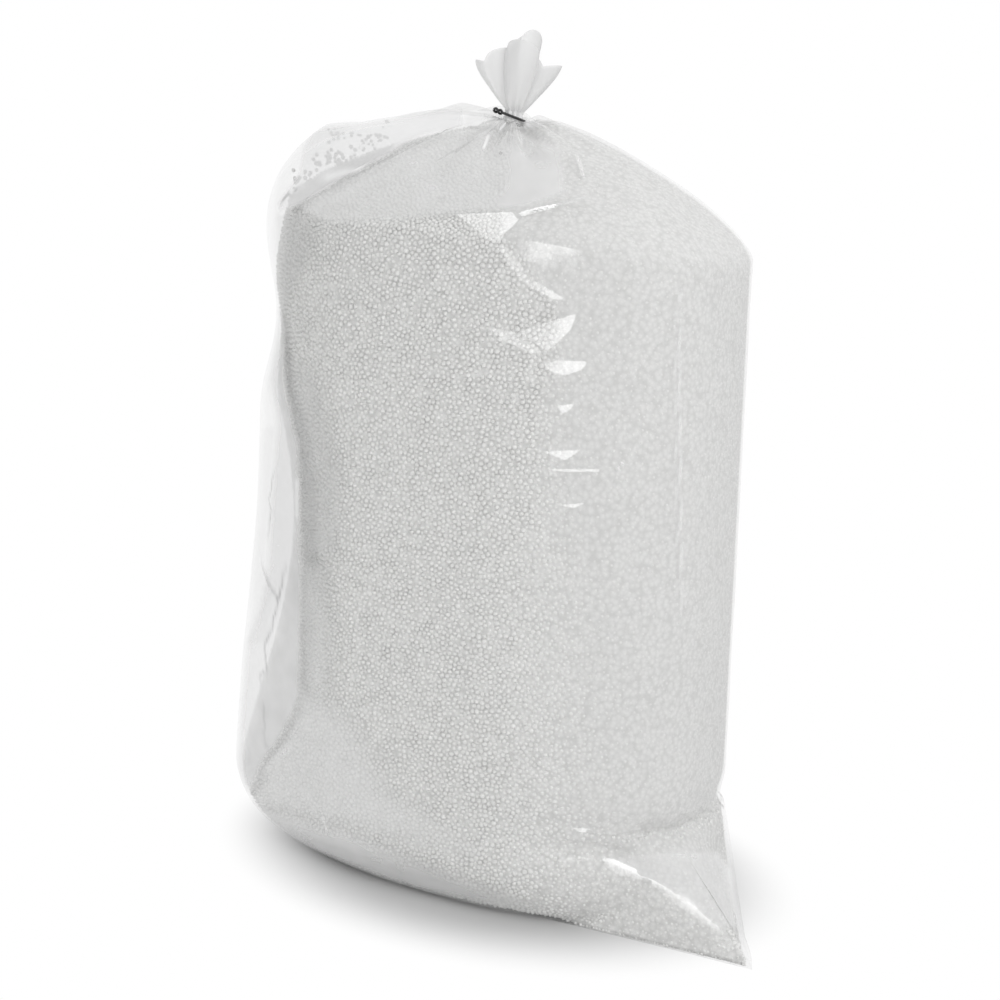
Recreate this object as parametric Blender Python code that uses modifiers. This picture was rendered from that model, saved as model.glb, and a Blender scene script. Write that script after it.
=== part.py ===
"""A tall clear film bag packed with polystyrene beads, gathered and tied at the neck.

Metres, +Z up. The origin is a point of the flat base, near its middle and under the neck. X runs
along the broad front, which faces -Y. A bottom corner of the film stands out as an ear near +X.
"""

import math

import bmesh
import bpy
from mathutils import Vector

# Body of the bag, film to film
BODY_WIDTH = 0.490
BODY_DEPTH = 0.330
BODY_CENTRE_X = -0.009
BODY_LEAN_X = -0.008
BODY_SQUARENESS = 2.6
BOTTOM_SPREAD_X = 0.054
BOTTOM_SPREAD_Y = -0.004
SHOULDER_HEIGHT = 0.645

# Base, where the film lies flat on the floor, and the round corner above it
BASE_INSET_X = 0.034
BASE_INSET_Y = 0.042
CORNER_HEIGHT = 0.075
LEFT_HEEL_INSET = 0.030
LEFT_HEEL_HEIGHT = 0.085

# Ear: the flat bag's bottom corner, pulled out to a point, with a blunt corner behind it
EAR_ANGLE = math.radians(-15.0)
EAR_REACH = 0.138
EAR_HEIGHT = 0.100
EAR_FRONT_ANGLE = math.radians(-77.0)
EAR_HEEL_ANGLE = math.radians(25.0)
EAR_HEEL_REACH = 0.074
EAR_HEEL_HEIGHT = 0.084
EAR_BACK_ANGLE = math.radians(85.0)
EAR_FACE_LEAN = 0.10
EAR_CREST_LOW = 0.008
EAR_CREST_HIGH = 0.074
EAR_CREST_FADE = math.radians(8.0)
EAR_VALLEY_DEPTH = 0.009
EAR_VALLEY_HEIGHT = 0.096
EAR_VALLEY_HALF_HEIGHT = 0.036
EAR_VALLEY_HALF_ANGLE = math.radians(62.0)

# Creases from the flat-packed tube, the waist under the upper air pocket, and the slack flank
CREASE_RISE = 0.0022
CREASE_HALF_ANGLE = math.radians(5.0)
WAIST_DEPTH = 0.015
WAIST_ANGLE = math.radians(200.0)
WAIST_HALF_ANGLE = math.radians(44.0)
WAIST_HEIGHT = 0.555
WAIST_HALF_HEIGHT = 0.095
FLANK_DEPTH = 0.007
FLANK_HEIGHT = 0.370
FLANK_HALF_HEIGHT = 0.250

# The wall's front draws in below the shoulder, which rounds the front rim
RIM_DRAW = 0.006
RIM_HEIGHT = 0.060
RIM_ANGLE = math.radians(-75.0)
RIM_HALF_ANGLE = math.radians(70.0)

# Neck and tie
TIE_HEIGHT = 0.765
NECK_X = -0.008
NECK_Y = 0.004
NECK_RADIUS = 0.0098
NECK_PLEAT_DEPTH = 0.0016
NECK_LEAN = math.radians(9.0)
NECK_LEAN_TOWARDS = math.radians(28.0)
COLLAR_RISE = 0.006
TIE_SEAT_RISE = 0.0036
COLLAR_START = 0.84

# Gathers: how many, how unevenly they fall, and where they stand highest on the top
TOP_PLEATS = 11
PLEAT_DRIFT = 0.9
PLEAT_START = 0.6
BROAD_PLEATS = 5
BROAD_PLEAT_START = 1.1
BROAD_PLEAT_SHARE = 0.25
TOP_PLEAT_HEIGHT = 0.0045
TOP_PLEAT_MIDDLE = 0.74
TOP_PLEAT_HALF_SPAN = 0.42
NECK_PLEAT_ONSET = 6

# The top on each side: direction, shoulder lift, peak above the tie, and how square it is
TOP_SIDES = (
    (-15.0, -0.005, 0.002, 1.30),
    (45.0, -0.002, 0.002, 1.42),
    (100.0, 0.004, 0.006, 1.70),
    (150.0, 0.004, 0.002, 2.80),
    (190.0, 0.004, -0.004, 3.20),
    (203.0, 0.004, -0.004, 2.40),
    (217.0, 0.010, -0.002, 1.25),
    (250.0, 0.018, -0.004, 1.15),
    (300.0, 0.015, -0.002, 1.20),
)

# Corners that stand up where the top's film is taut: place, reach and height
TOP_CORNERS = (
    (-0.079, 0.022, 0.065, 0.009),
    (-0.196, -0.042, 0.035, 0.007),
)

# Tuft above the tie: each lobe has its direction, half width, reach, height and flare
TUFT_LOBES = (
    (20.0, 44.0, 0.0370, 0.057, 0.95),
    (110.0, 50.0, 0.0230, 0.086, 0.80),
    (160.0, 24.0, 0.0290, 0.064, 0.90),
    (205.0, 38.0, 0.0470, 0.046, 0.90),
    (286.0, 60.0, 0.0300, 0.072, 0.60),
)
TUFT_ROUNDNESS = 0.22
TUFT_TURN_IN = 0.18
TUFT_TURN_POWER = 6
TUFT_HOLLOW_RADIUS = 0.0085
TUFT_HOLLOW_HEIGHT = 0.046

# Film and what it holds
FILM_THICKNESS = 0.0003
BEAD_GAP = 0.0006
SLOPE_STEP = 0.0004
SIDE_POCKET_DEPTH = 0.044
SIDE_POCKET_ANGLE = math.radians(205.0)
SIDE_POCKET_HALF_ANGLE = math.radians(44.0)
SIDE_POCKET_HEIGHT = 0.300
SIDE_POCKET_HALF_HEIGHT = 0.290
SHOULDER_POCKET_DEPTH = 0.014
SHOULDER_POCKET_HEIGHT = 0.655
SHOULDER_POCKET_HALF_HEIGHT = 0.075
BEAD_TOP_GAP = 0.007
BEAD_TOP_PEAK = -0.006
BEAD_TOP_SQUARENESS = 1.30
BEAD_TOP_END = 0.88
BEAD_TOP_ONSET = 0.33
EAR_BEAD_GAP = 0.018
EAR_AIR = 0.010

# Wire tie: one turn round the neck, its two tails twisted together
TIE_WIRE = 0.0026
TIE_CLEARANCE = 0.0004
TIE_TILT = math.radians(9.0)
TIE_TAIL = 0.009
TIE_TAIL_TURNS = 1.0
TIE_TAIL_TOWARDS = math.radians(205.0)

# How finely the shapes are divided, and the angle from which an edge shows sharp
COLUMNS = 64
BEAD_COLUMNS = 32
CORNER_ROWS = 6
WALL_ROWS = 9
TOP_ROWS = 10
TOP_ROW_EASE = 1.55
TUFT_ROWS = 7
TIE_TURN_POINTS = 26
TIE_TAIL_POINTS = 7
GIRTH_STEPS = 720
SHARP_ANGLE = math.radians(50.0)


def smooth_bump(value, centre, half_width):
    """One at the centre, zero past the half width, smooth between."""
    share = abs(value - centre) / half_width
    if share >= 1.0:
        return 0.0
    return math.cos(share * math.pi / 2.0) ** 2


def angle_between(angle, other):
    """Signed turn from other to angle, within half a turn."""
    return (angle - other + math.pi) % (2.0 * math.pi) - math.pi


def angle_bump(angle, centre, half_width):
    return smooth_bump(angle_between(angle, centre), 0.0, half_width)


def top_side(angle):
    """Shoulder lift, peak and squareness of the top, eased between the listed sides."""
    turn = math.degrees(angle) % 360.0
    first = TOP_SIDES[0][0]
    turn = first + (turn - first) % 360.0
    closed = list(TOP_SIDES) + [(first + 360.0, *TOP_SIDES[0][1:])]
    for low, high in zip(closed, closed[1:]):
        if turn <= high[0]:
            share = (turn - low[0]) / (high[0] - low[0])
            ease = share * share * (3.0 - 2.0 * share)
            return [a + (b - a) * ease for a, b in zip(low[1:], high[1:])]
    return list(closed[0][1:])


def oval_radius(angle, half_width, half_depth):
    """Distance from the middle to a squarish oval, in one direction."""
    across = abs(math.cos(angle) / half_width) ** BODY_SQUARENESS
    along = abs(math.sin(angle) / half_depth) ** BODY_SQUARENESS
    return (across + along) ** (-1.0 / BODY_SQUARENESS)


def body_radius(angle, height):
    """The body's plain oval at a height, with its round bottom corner."""
    low = 1.0 - height / SHOULDER_HEIGHT
    half_width = (BODY_WIDTH + BOTTOM_SPREAD_X * low) / 2.0
    half_depth = (BODY_DEPTH + BOTTOM_SPREAD_Y * low) / 2.0
    if height < CORNER_HEIGHT:
        rest = 1.0 - height / CORNER_HEIGHT
        tuck = 1.0 - math.sqrt(max(0.0, 1.0 - rest * rest))
        half_width -= BASE_INSET_X * tuck
        half_depth -= BASE_INSET_Y * tuck
    radius = oval_radius(angle, half_width, half_depth)
    if height < LEFT_HEEL_HEIGHT:
        rest = 1.0 - height / LEFT_HEEL_HEIGHT
        radius -= LEFT_HEEL_INSET * rest * rest * max(0.0, -math.cos(angle)) ** 2
    return radius


def ear_foot(angle, inset):
    """The ear's outline on the floor, straight between its corners, or zero outside the ear."""
    corners = (
        (EAR_FRONT_ANGLE, 0.0),
        (EAR_ANGLE, EAR_REACH),
        (EAR_HEEL_ANGLE, EAR_HEEL_REACH),
        (EAR_BACK_ANGLE, 0.0),
    )
    spots = [(a, body_radius(a, 0.0) + max(0.0, reach - inset)) for a, reach in corners]
    for (start, near), (end, far) in zip(spots, spots[1:]):
        turn = angle_between(angle, start)
        spread = end - start
        if 0.0 <= turn <= spread:
            cross = near * far * math.sin(spread)
            return cross / (near * math.sin(turn) + far * math.sin(spread - turn))
    return 0.0


def ear_radius(angle, height, inset):
    """The ear's face, nearly upright up to its crest, and its top, which falls back from there."""
    foot = ear_foot(angle, inset)
    past_tip = max(0.0, angle_between(angle, EAR_ANGLE))
    heel_share = min(1.0, past_tip / (EAR_HEEL_ANGLE - EAR_ANGLE))
    top = EAR_HEIGHT + (EAR_HEEL_HEIGHT - EAR_HEIGHT) * heel_share
    if foot == 0.0 or height >= top:
        return 0.0
    tip = body_radius(EAR_ANGLE, 0.0) + EAR_REACH - inset
    from_tip = max(0.0, (tip - foot) / EAR_REACH)
    crest = EAR_CREST_LOW + (EAR_CREST_HIGH - EAR_CREST_LOW) * from_tip
    crest = min(crest, EAR_CREST_HIGH) * max(0.0, 1.0 - past_tip / EAR_CREST_FADE)
    edge = foot - EAR_FACE_LEAN * min(height, crest)
    if height <= crest:
        return edge
    return edge + (body_radius(angle, top) - edge) * (height - crest) / (top - crest)


def film_radius(angle, height, ear_inset=0.0):
    """The film's wall at a height: body, rim, ear valley, waist, flank, ear and creases."""
    radius = body_radius(angle, height)
    drawn = max(0.0, 1.0 - (SHOULDER_HEIGHT - height) / RIM_HEIGHT)
    radius -= RIM_DRAW * drawn * drawn * angle_bump(angle, RIM_ANGLE, RIM_HALF_ANGLE)
    valley = smooth_bump(height, EAR_VALLEY_HEIGHT, EAR_VALLEY_HALF_HEIGHT)
    radius -= EAR_VALLEY_DEPTH * valley * angle_bump(angle, EAR_ANGLE, EAR_VALLEY_HALF_ANGLE)
    waist = WAIST_DEPTH * smooth_bump(height, WAIST_HEIGHT, WAIST_HALF_HEIGHT)
    flank = FLANK_DEPTH * smooth_bump(height, FLANK_HEIGHT, FLANK_HALF_HEIGHT)
    radius -= (waist + flank) * angle_bump(angle, WAIST_ANGLE, WAIST_HALF_ANGLE)
    ear = ear_radius(angle, height, ear_inset)
    if ear > radius:
        radius = ear
    for crease_angle in (EAR_ANGLE, EAR_ANGLE + math.pi):
        radius += CREASE_RISE * angle_bump(angle, crease_angle, CREASE_HALF_ANGLE)
    return radius


def bead_pockets(angle, height):
    """How far air pockets keep the beads from the film, beyond the plain gap."""
    side = angle_bump(angle, SIDE_POCKET_ANGLE, SIDE_POCKET_HALF_ANGLE)
    pocket = SIDE_POCKET_DEPTH * smooth_bump(height, SIDE_POCKET_HEIGHT, SIDE_POCKET_HALF_HEIGHT)
    shoulder = SHOULDER_POCKET_DEPTH * smooth_bump(
        height, SHOULDER_POCKET_HEIGHT, SHOULDER_POCKET_HALF_HEIGHT
    )
    crease = 0.0
    for crease_angle in (EAR_ANGLE, EAR_ANGLE + math.pi):
        crease += CREASE_RISE * angle_bump(angle, crease_angle, CREASE_HALF_ANGLE)
    fold = EAR_AIR * smooth_bump(height, EAR_HEIGHT / 2.0, EAR_HEIGHT)
    fold *= angle_bump(angle, EAR_ANGLE, EAR_VALLEY_HALF_ANGLE)
    return crease + fold + side * (pocket + shoulder)


def bead_wall_point(angle, height):
    """The film's wall moved in by the film and the bead gap, square to the wall's slope."""
    radius = film_radius(angle, height, EAR_BEAD_GAP)
    above = film_radius(angle, height + SLOPE_STEP, EAR_BEAD_GAP)
    slope = (above - radius) / SLOPE_STEP
    length = math.hypot(slope, 1.0)
    gap = FILM_THICKNESS + BEAD_GAP
    radius -= gap / length + bead_pockets(angle, height)
    rise = lifted(angle, height) + gap * max(0.0, slope) / length
    return wall_point(angle, max(gap, rise), radius)


def even_angles(count):
    """Directions, from the ear on, that share the body's girth evenly."""
    fan = [EAR_ANGLE + 2.0 * math.pi * i / GIRTH_STEPS for i in range(GIRTH_STEPS + 1)]
    height = SHOULDER_HEIGHT / 2.0
    ring = [Vector((math.cos(a), math.sin(a))) * body_radius(a, height) for a in fan]
    run = [0.0]
    for here, there in zip(ring, ring[1:]):
        run.append(run[-1] + (there - here).length)
    angles = []
    spot = 0
    for i in range(count):
        target = run[-1] * i / count
        while run[spot + 1] < target:
            spot += 1
        share = (target - run[spot]) / (run[spot + 1] - run[spot])
        angles.append(fan[spot] + (fan[spot + 1] - fan[spot]) * share)
    return angles


def wall_heights():
    """Heights of the rings from the floor to the shoulder, closer in the round corner."""
    top = EAR_VALLEY_HEIGHT + EAR_VALLEY_HALF_HEIGHT
    low = [top * (1.0 - math.cos(math.pi / 2.0 * i / CORNER_ROWS)) for i in range(CORNER_ROWS)]
    high = [top + (SHOULDER_HEIGHT - top) * i / WALL_ROWS for i in range(WALL_ROWS + 1)]
    return low + high


def wall_point(angle, height, radius):
    centre = BODY_CENTRE_X + BODY_LEAN_X * (1.0 - height / SHOULDER_HEIGHT)
    return Vector((centre + radius * math.cos(angle), radius * math.sin(angle), height))


def lifted(angle, height):
    """A wall height, stretched so that its top ring meets that side's shoulder."""
    share = height / SHOULDER_HEIGHT
    return height + top_side(angle)[0] * share * share


def neck_drop(x, y):
    """How far a leaning neck lowers a point that stands off its axis."""
    along = (x - NECK_X) * math.cos(NECK_LEAN_TOWARDS)
    along += (y - NECK_Y) * math.sin(NECK_LEAN_TOWARDS)
    return along * math.tan(NECK_LEAN)


def top_point(angle, share, start_radius, highest_peak=math.inf, most_square=math.inf):
    """The top between the shoulder (share 0) and the neck (share 1), without gathers."""
    lift, peak, squareness = top_side(angle)
    peak = min(peak, highest_peak)
    squareness = min(squareness, most_square)
    start = wall_point(angle, SHOULDER_HEIGHT, start_radius)
    low = SHOULDER_HEIGHT + lift
    x = start.x + (NECK_X + NECK_RADIUS * math.cos(angle) - start.x) * share
    y = start.y + (NECK_Y + NECK_RADIUS * math.sin(angle) - start.y) * share
    arch = (1.0 - (1.0 - share) ** squareness) ** (1.0 / squareness)
    z = low + (TIE_HEIGHT + peak - low) * arch
    near = max(0.0, (share - COLLAR_START) / (1.0 - COLLAR_START))
    near = near * near * (3.0 - 2.0 * near)
    collar = TIE_HEIGHT - COLLAR_RISE - neck_drop(x, y)
    return Vector((x, y, z + (collar - z) * near))


def pleat(angle):
    """Uneven gathers round the neck, between minus one and one."""
    even = math.cos(TOP_PLEATS * angle + PLEAT_DRIFT * math.sin(2.0 * angle + PLEAT_START))
    broad = math.cos(BROAD_PLEATS * angle + BROAD_PLEAT_START)
    return even + (broad - even) * BROAD_PLEAT_SHARE


def film_top_point(angle, share):
    point = top_point(angle, share, film_radius(angle, SHOULDER_HEIGHT))
    rise = TOP_PLEAT_HEIGHT * smooth_bump(share, TOP_PLEAT_MIDDLE, TOP_PLEAT_HALF_SPAN)
    point.z += rise * pleat(angle)
    for x, y, reach, height in TOP_CORNERS:
        point.z += height * max(0.0, 1.0 - math.hypot(point.x - x, point.y - y) / reach)
    out = Vector((math.cos(angle), math.sin(angle), 0.0))
    return point + out * NECK_PLEAT_DEPTH * (pleat(angle) - 1.0) * share**NECK_PLEAT_ONSET


def neck_axes():
    """The leaning neck's own axis and the two directions across it."""
    toward = Vector((math.cos(NECK_LEAN_TOWARDS), math.sin(NECK_LEAN_TOWARDS), 0.0))
    axis = toward * math.sin(NECK_LEAN) + Vector((0.0, 0.0, math.cos(NECK_LEAN)))
    side = axis.cross(toward).normalized()
    front = side.cross(axis).normalized()
    return axis, front, side


def neck_point(angle, rise, radius):
    """A point round the leaning neck, at a rise along it above the tie."""
    axis, front, side = neck_axes()
    turn = angle - NECK_LEAN_TOWARDS
    centre = Vector((NECK_X, NECK_Y, TIE_HEIGHT)) + axis * rise
    return centre + front * (radius * math.cos(turn)) + side * (radius * math.sin(turn))


def neck_film_radius(angle):
    return NECK_RADIUS + NECK_PLEAT_DEPTH * (pleat(angle) - 1.0)


def tuft_point(angle, share):
    """A point of the tuft, from the tie (share 0) to its edge (share 1)."""
    start = neck_film_radius(angle)
    radius = start + (TUFT_HOLLOW_RADIUS - start) * share
    height = TUFT_HOLLOW_HEIGHT
    for toward, half_width, lobe_reach, lobe_height, flare in TUFT_LOBES:
        lobe = angle_bump(angle, math.radians(toward), math.radians(half_width)) ** TUFT_ROUNDNESS
        edge = TUFT_HOLLOW_RADIUS + (lobe_reach - TUFT_HOLLOW_RADIUS) * lobe
        spread = (1.0 + TUFT_TURN_IN) * share**flare - TUFT_TURN_IN * share**TUFT_TURN_POWER
        radius = max(radius, start + (edge - start) * spread)
        height = max(height, TUFT_HOLLOW_HEIGHT + (lobe_height - TUFT_HOLLOW_HEIGHT) * lobe)
    return neck_point(angle, COLLAR_RISE + (height - COLLAR_RISE) * share, radius)


def film_rings():
    """Every ring of the film, from the base's edge up to the tuft's mouth."""
    angles = even_angles(COLUMNS)
    rings = []
    for height in wall_heights():
        rings.append([wall_point(a, lifted(a, height), film_radius(a, height)) for a in angles])
    for row in range(1, TOP_ROWS + 1):
        share = (row / TOP_ROWS) ** TOP_ROW_EASE
        rings.append([film_top_point(a, share) for a in angles])
    for rise in (-TIE_SEAT_RISE, TIE_SEAT_RISE):
        rings.append([neck_point(a, rise, neck_film_radius(a)) for a in angles])
    for row in range(TUFT_ROWS + 1):
        rings.append([tuft_point(a, row / TUFT_ROWS) for a in angles])
    return rings


def bead_top_point(angle, share):
    """The beads' top, lower and flatter than the film's."""
    radius = film_radius(angle, SHOULDER_HEIGHT) - FILM_THICKNESS - BEAD_GAP
    radius -= bead_pockets(angle, SHOULDER_HEIGHT)
    point = top_point(angle, share * BEAD_TOP_END, radius, BEAD_TOP_PEAK, BEAD_TOP_SQUARENESS)
    point.z -= BEAD_TOP_GAP * min(1.0, share / BEAD_TOP_ONSET)
    return point


def bead_rings():
    """Every ring of the bead mass, inside the film with air at the left and on top."""
    angles = even_angles(BEAD_COLUMNS)
    rings = [[bead_wall_point(a, height) for a in angles] for height in wall_heights()]
    for row in range(1, TOP_ROWS):
        share = (row / TOP_ROWS) ** TOP_ROW_EASE
        rings.append([bead_top_point(a, share) for a in angles])
    return rings


def loft(name, rings, close_top):
    """A mesh through closed rings, with a flat face under the first ring."""
    shape = bmesh.new()
    rows = [[shape.verts.new(point) for point in ring] for ring in rings]
    for low, high in zip(rows, rows[1:]):
        for i in range(len(low)):
            j = (i + 1) % len(low)
            shape.faces.new((low[i], low[j], high[j], high[i]))
    shape.faces.new(list(reversed(rows[0])))
    if close_top:
        shape.faces.new(rows[-1])
    mesh = bpy.data.meshes.new(name)
    shape.to_mesh(mesh)
    shape.free()
    mesh.shade_smooth()
    mesh.set_sharp_from_angle(angle=SHARP_ANGLE)
    return mesh


def material(name, colour, roughness, alpha=1.0):
    finish = bpy.data.materials.new(name)
    finish.use_nodes = True
    shader = finish.node_tree.nodes["Principled BSDF"]
    shader.inputs["Base Color"].default_value = (*colour, 1.0)
    shader.inputs["Roughness"].default_value = roughness
    shader.inputs["Metallic"].default_value = 0.0
    shader.inputs["Alpha"].default_value = alpha
    return finish


def add_part(name, data, finish, collection):
    part = bpy.data.objects.new(name, data)
    part.data.materials.append(finish)
    collection.objects.link(part)
    return part


def make_film_bag(collection):
    """The film: one closed wall, open only where the tuft's mouth is."""
    mesh = loft("film_bag", film_rings(), close_top=False)
    finish = material("clear_film", (0.86, 0.86, 0.86), 0.22, 0.35)
    bag = add_part("film_bag", mesh, finish, collection)
    wall = bag.modifiers.new("wall", "SOLIDIFY")
    wall.thickness = FILM_THICKNESS
    wall.offset = -1.0
    wall.use_even_offset = True
    return bag


def make_bead_fill(collection):
    """The packed beads, as one settled mass."""
    mesh = loft("bead_fill", bead_rings(), close_top=True)
    finish = material("polystyrene_beads", (0.82, 0.82, 0.80), 0.75)
    return add_part("bead_fill", mesh, finish, collection)


def tie_point(angle, radius):
    """A point round the neck at the tie, which sits askew on it."""
    rise = -radius * math.cos(angle - NECK_LEAN_TOWARDS) * math.tan(TIE_TILT)
    return neck_point(angle, rise, radius)


def tie_route():
    """One turn round the neck, with both ends twisted together at the side."""
    radius = NECK_RADIUS + TIE_WIRE / 2.0 + TIE_CLEARANCE
    pitch = TIE_WIRE / 2.0 + TIE_CLEARANCE
    spread = math.asin(pitch / radius)
    turn = []
    for i in range(TIE_TURN_POINTS + 1):
        share = i / TIE_TURN_POINTS
        angle = TIE_TAIL_TOWARDS + spread + (2.0 * math.pi - 2.0 * spread) * share
        turn.append(tie_point(angle, radius))
    axis = neck_axes()[0]
    foot = tie_point(TIE_TAIL_TOWARDS, radius)
    out = (foot - tie_point(TIE_TAIL_TOWARDS, 0.0)).normalized()
    across = axis.cross(out).normalized()
    tails = []
    for sign in (1.0, -1.0):
        tail = []
        for i in range(1, TIE_TAIL_POINTS + 1):
            share = i / TIE_TAIL_POINTS
            twist = 2.0 * math.pi * TIE_TAIL_TURNS * share
            beside = across * (sign * pitch * math.cos(twist)) + axis * (sign * pitch * math.sin(twist))
            tail.append(foot + out * (TIE_TAIL * share) + beside)
        tails.append(tail)
    return list(reversed(tails[0])) + turn + tails[1]


def make_neck_tie(collection):
    """A plastic-coated wire tie, pulled tight under the tuft."""
    points = tie_route()
    curve = bpy.data.curves.new("neck_tie", "CURVE")
    curve.dimensions = "3D"
    curve.bevel_depth = TIE_WIRE / 2.0
    curve.bevel_resolution = 2
    curve.use_fill_caps = True
    spline = curve.splines.new("POLY")
    spline.points.add(len(points) - 1)
    for spot, point in zip(spline.points, points):
        spot.co = (*point, 1.0)
    return add_part("neck_tie", curve, material("black_tie", (0.02, 0.02, 0.02), 0.45), collection)


def main():
    for old in list(bpy.data.objects):
        bpy.data.objects.remove(old, do_unlink=True)
    collection = bpy.data.collections.new("bead_bag")
    bpy.context.scene.collection.children.link(collection)
    make_film_bag(collection)
    make_bead_fill(collection)
    make_neck_tie(collection)


main()
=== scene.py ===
"""Looks of the clear film bag of polystyrene beads: wrinkled film, single beads, tie, studio."""
import math
import random

import bmesh
import bpy
import numpy as np
from mathutils import Matrix, Vector, noise
from mathutils.bvhtree import BVHTree
from mathutils.kdtree import KDTree


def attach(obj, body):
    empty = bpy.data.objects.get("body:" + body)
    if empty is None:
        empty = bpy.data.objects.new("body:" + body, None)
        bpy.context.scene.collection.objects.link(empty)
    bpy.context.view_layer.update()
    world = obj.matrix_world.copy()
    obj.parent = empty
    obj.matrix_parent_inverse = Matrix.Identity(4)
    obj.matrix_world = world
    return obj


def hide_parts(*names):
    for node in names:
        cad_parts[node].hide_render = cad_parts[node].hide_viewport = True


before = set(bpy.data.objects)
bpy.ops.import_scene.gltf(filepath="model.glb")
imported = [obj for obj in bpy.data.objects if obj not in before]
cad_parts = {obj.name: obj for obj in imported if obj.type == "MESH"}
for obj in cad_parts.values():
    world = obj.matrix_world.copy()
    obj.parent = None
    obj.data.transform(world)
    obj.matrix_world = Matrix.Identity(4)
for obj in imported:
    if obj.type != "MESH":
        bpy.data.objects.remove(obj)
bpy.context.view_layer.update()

# Body of the bag, as in its solids
BODY_WIDTH = 0.490
BODY_DEPTH = 0.330
BODY_CENTRE_X = -0.009
BODY_LEAN_X = -0.008
BODY_SQUARENESS = 2.6
BOTTOM_SPREAD_X = 0.054
BOTTOM_SPREAD_Y = -0.004
SHOULDER_HEIGHT = 0.645
BASE_INSET_X = 0.034
BASE_INSET_Y = 0.042
CORNER_HEIGHT = 0.075
LEFT_HEEL_INSET = 0.030
LEFT_HEEL_HEIGHT = 0.085

# Ear
EAR_ANGLE = math.radians(-15.0)
EAR_REACH = 0.138
EAR_HEIGHT = 0.100
EAR_FRONT_ANGLE = math.radians(-77.0)
EAR_HEEL_ANGLE = math.radians(25.0)
EAR_HEEL_REACH = 0.074
EAR_HEEL_HEIGHT = 0.084
EAR_BACK_ANGLE = math.radians(85.0)
EAR_FACE_LEAN = 0.10
EAR_CREST_LOW = 0.008
EAR_CREST_HIGH = 0.074
EAR_CREST_FADE = math.radians(8.0)
EAR_VALLEY_DEPTH = 0.009
EAR_VALLEY_HEIGHT = 0.096
EAR_VALLEY_HALF_HEIGHT = 0.036
EAR_VALLEY_HALF_ANGLE = math.radians(62.0)

# Creases and waist
CREASE_RISE = 0.0022
CREASE_HALF_ANGLE = math.radians(5.0)
WAIST_DEPTH = 0.015
WAIST_ANGLE = math.radians(200.0)
WAIST_HALF_ANGLE = math.radians(44.0)
WAIST_HEIGHT = 0.555
WAIST_HALF_HEIGHT = 0.095
FLANK_DEPTH = 0.007
FLANK_HEIGHT = 0.370
FLANK_HALF_HEIGHT = 0.250
RIM_DRAW = 0.006
RIM_HEIGHT = 0.060
RIM_ANGLE = math.radians(-75.0)
RIM_HALF_ANGLE = math.radians(70.0)

# Neck, top and tuft
TIE_HEIGHT = 0.765
NECK_X = -0.008
NECK_Y = 0.004
NECK_RADIUS = 0.0098
NECK_PLEAT_DEPTH = 0.0016
NECK_LEAN = math.radians(9.0)
NECK_LEAN_TOWARDS = math.radians(28.0)
COLLAR_RISE = 0.006
TIE_SEAT_RISE = 0.0036
COLLAR_START = 0.84
TOP_PLEATS = 11
PLEAT_DRIFT = 0.9
PLEAT_START = 0.6
BROAD_PLEATS = 5
BROAD_PLEAT_START = 1.1
BROAD_PLEAT_SHARE = 0.25
TOP_PLEAT_HEIGHT = 0.0045
TOP_PLEAT_MIDDLE = 0.74
TOP_PLEAT_HALF_SPAN = 0.42
NECK_PLEAT_ONSET = 6
TOP_SIDES = (
    (-15.0, -0.005, 0.002, 1.30),
    (45.0, -0.002, 0.002, 1.42),
    (100.0, 0.004, 0.006, 1.70),
    (150.0, 0.004, 0.002, 2.80),
    (190.0, 0.004, -0.004, 3.20),
    (203.0, 0.004, -0.004, 2.40),
    (217.0, 0.010, -0.002, 1.25),
    (250.0, 0.018, -0.004, 1.15),
    (300.0, 0.015, -0.002, 1.20),
)
TOP_CORNERS = (
    (-0.079, 0.022, 0.065, 0.009),
    (-0.196, -0.042, 0.035, 0.007),
)
TUFT_LOBES = (
    (20.0, 44.0, 0.0370, 0.057, 0.95),
    (110.0, 50.0, 0.0230, 0.086, 0.80),
    (160.0, 24.0, 0.0290, 0.064, 0.90),
    (205.0, 38.0, 0.0470, 0.046, 0.90),
    (286.0, 60.0, 0.0300, 0.072, 0.60),
)
TUFT_ROUNDNESS = 0.22
TUFT_TURN_IN = 0.18
TUFT_TURN_POWER = 6
TUFT_HOLLOW_RADIUS = 0.0085
TUFT_HOLLOW_HEIGHT = 0.046

# Beads inside the film
FILM_THICKNESS = 0.0003
BEAD_GAP = 0.0006
SIDE_POCKET_DEPTH = 0.044
SIDE_POCKET_ANGLE = math.radians(205.0)
SIDE_POCKET_HALF_ANGLE = math.radians(44.0)
SIDE_POCKET_HEIGHT = 0.300
SIDE_POCKET_HALF_HEIGHT = 0.290
SHOULDER_POCKET_DEPTH = 0.014
SHOULDER_POCKET_HEIGHT = 0.655
SHOULDER_POCKET_HALF_HEIGHT = 0.075
BEAD_TOP_GAP = 0.007
BEAD_TOP_PEAK = -0.006
BEAD_TOP_SQUARENESS = 1.30
BEAD_TOP_END = 0.88
BEAD_TOP_ONSET = 0.33
BEAD_RADIUS = 0.0026
BEAD_PITCH = 0.0054

# Tie
TIE_WIRE = 0.0026
TIE_CLEARANCE = 0.0004
TIE_TILT = math.radians(9.0)
TIE_TAIL = 0.009
TIE_TAIL_TURNS = 1.0
TIE_TAIL_TOWARDS = math.radians(205.0)

# Camera, at the photograph's angle
CAMERA_AZIMUTH = math.radians(28.0)
CAMERA_DISTANCE = 1.7
CAMERA_HEIGHT = 0.76
CAMERA_PITCH = math.atan(378.0 / 1700.0)
CAMERA_ROLL = math.radians(2.8)
IMAGE_SIZE = 1000.0
FOCAL_PIXELS = 1700.0
SENSOR = 36.0

MERGE_DISTANCE = 1e-6
GIRTH_STEPS = 1440


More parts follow.
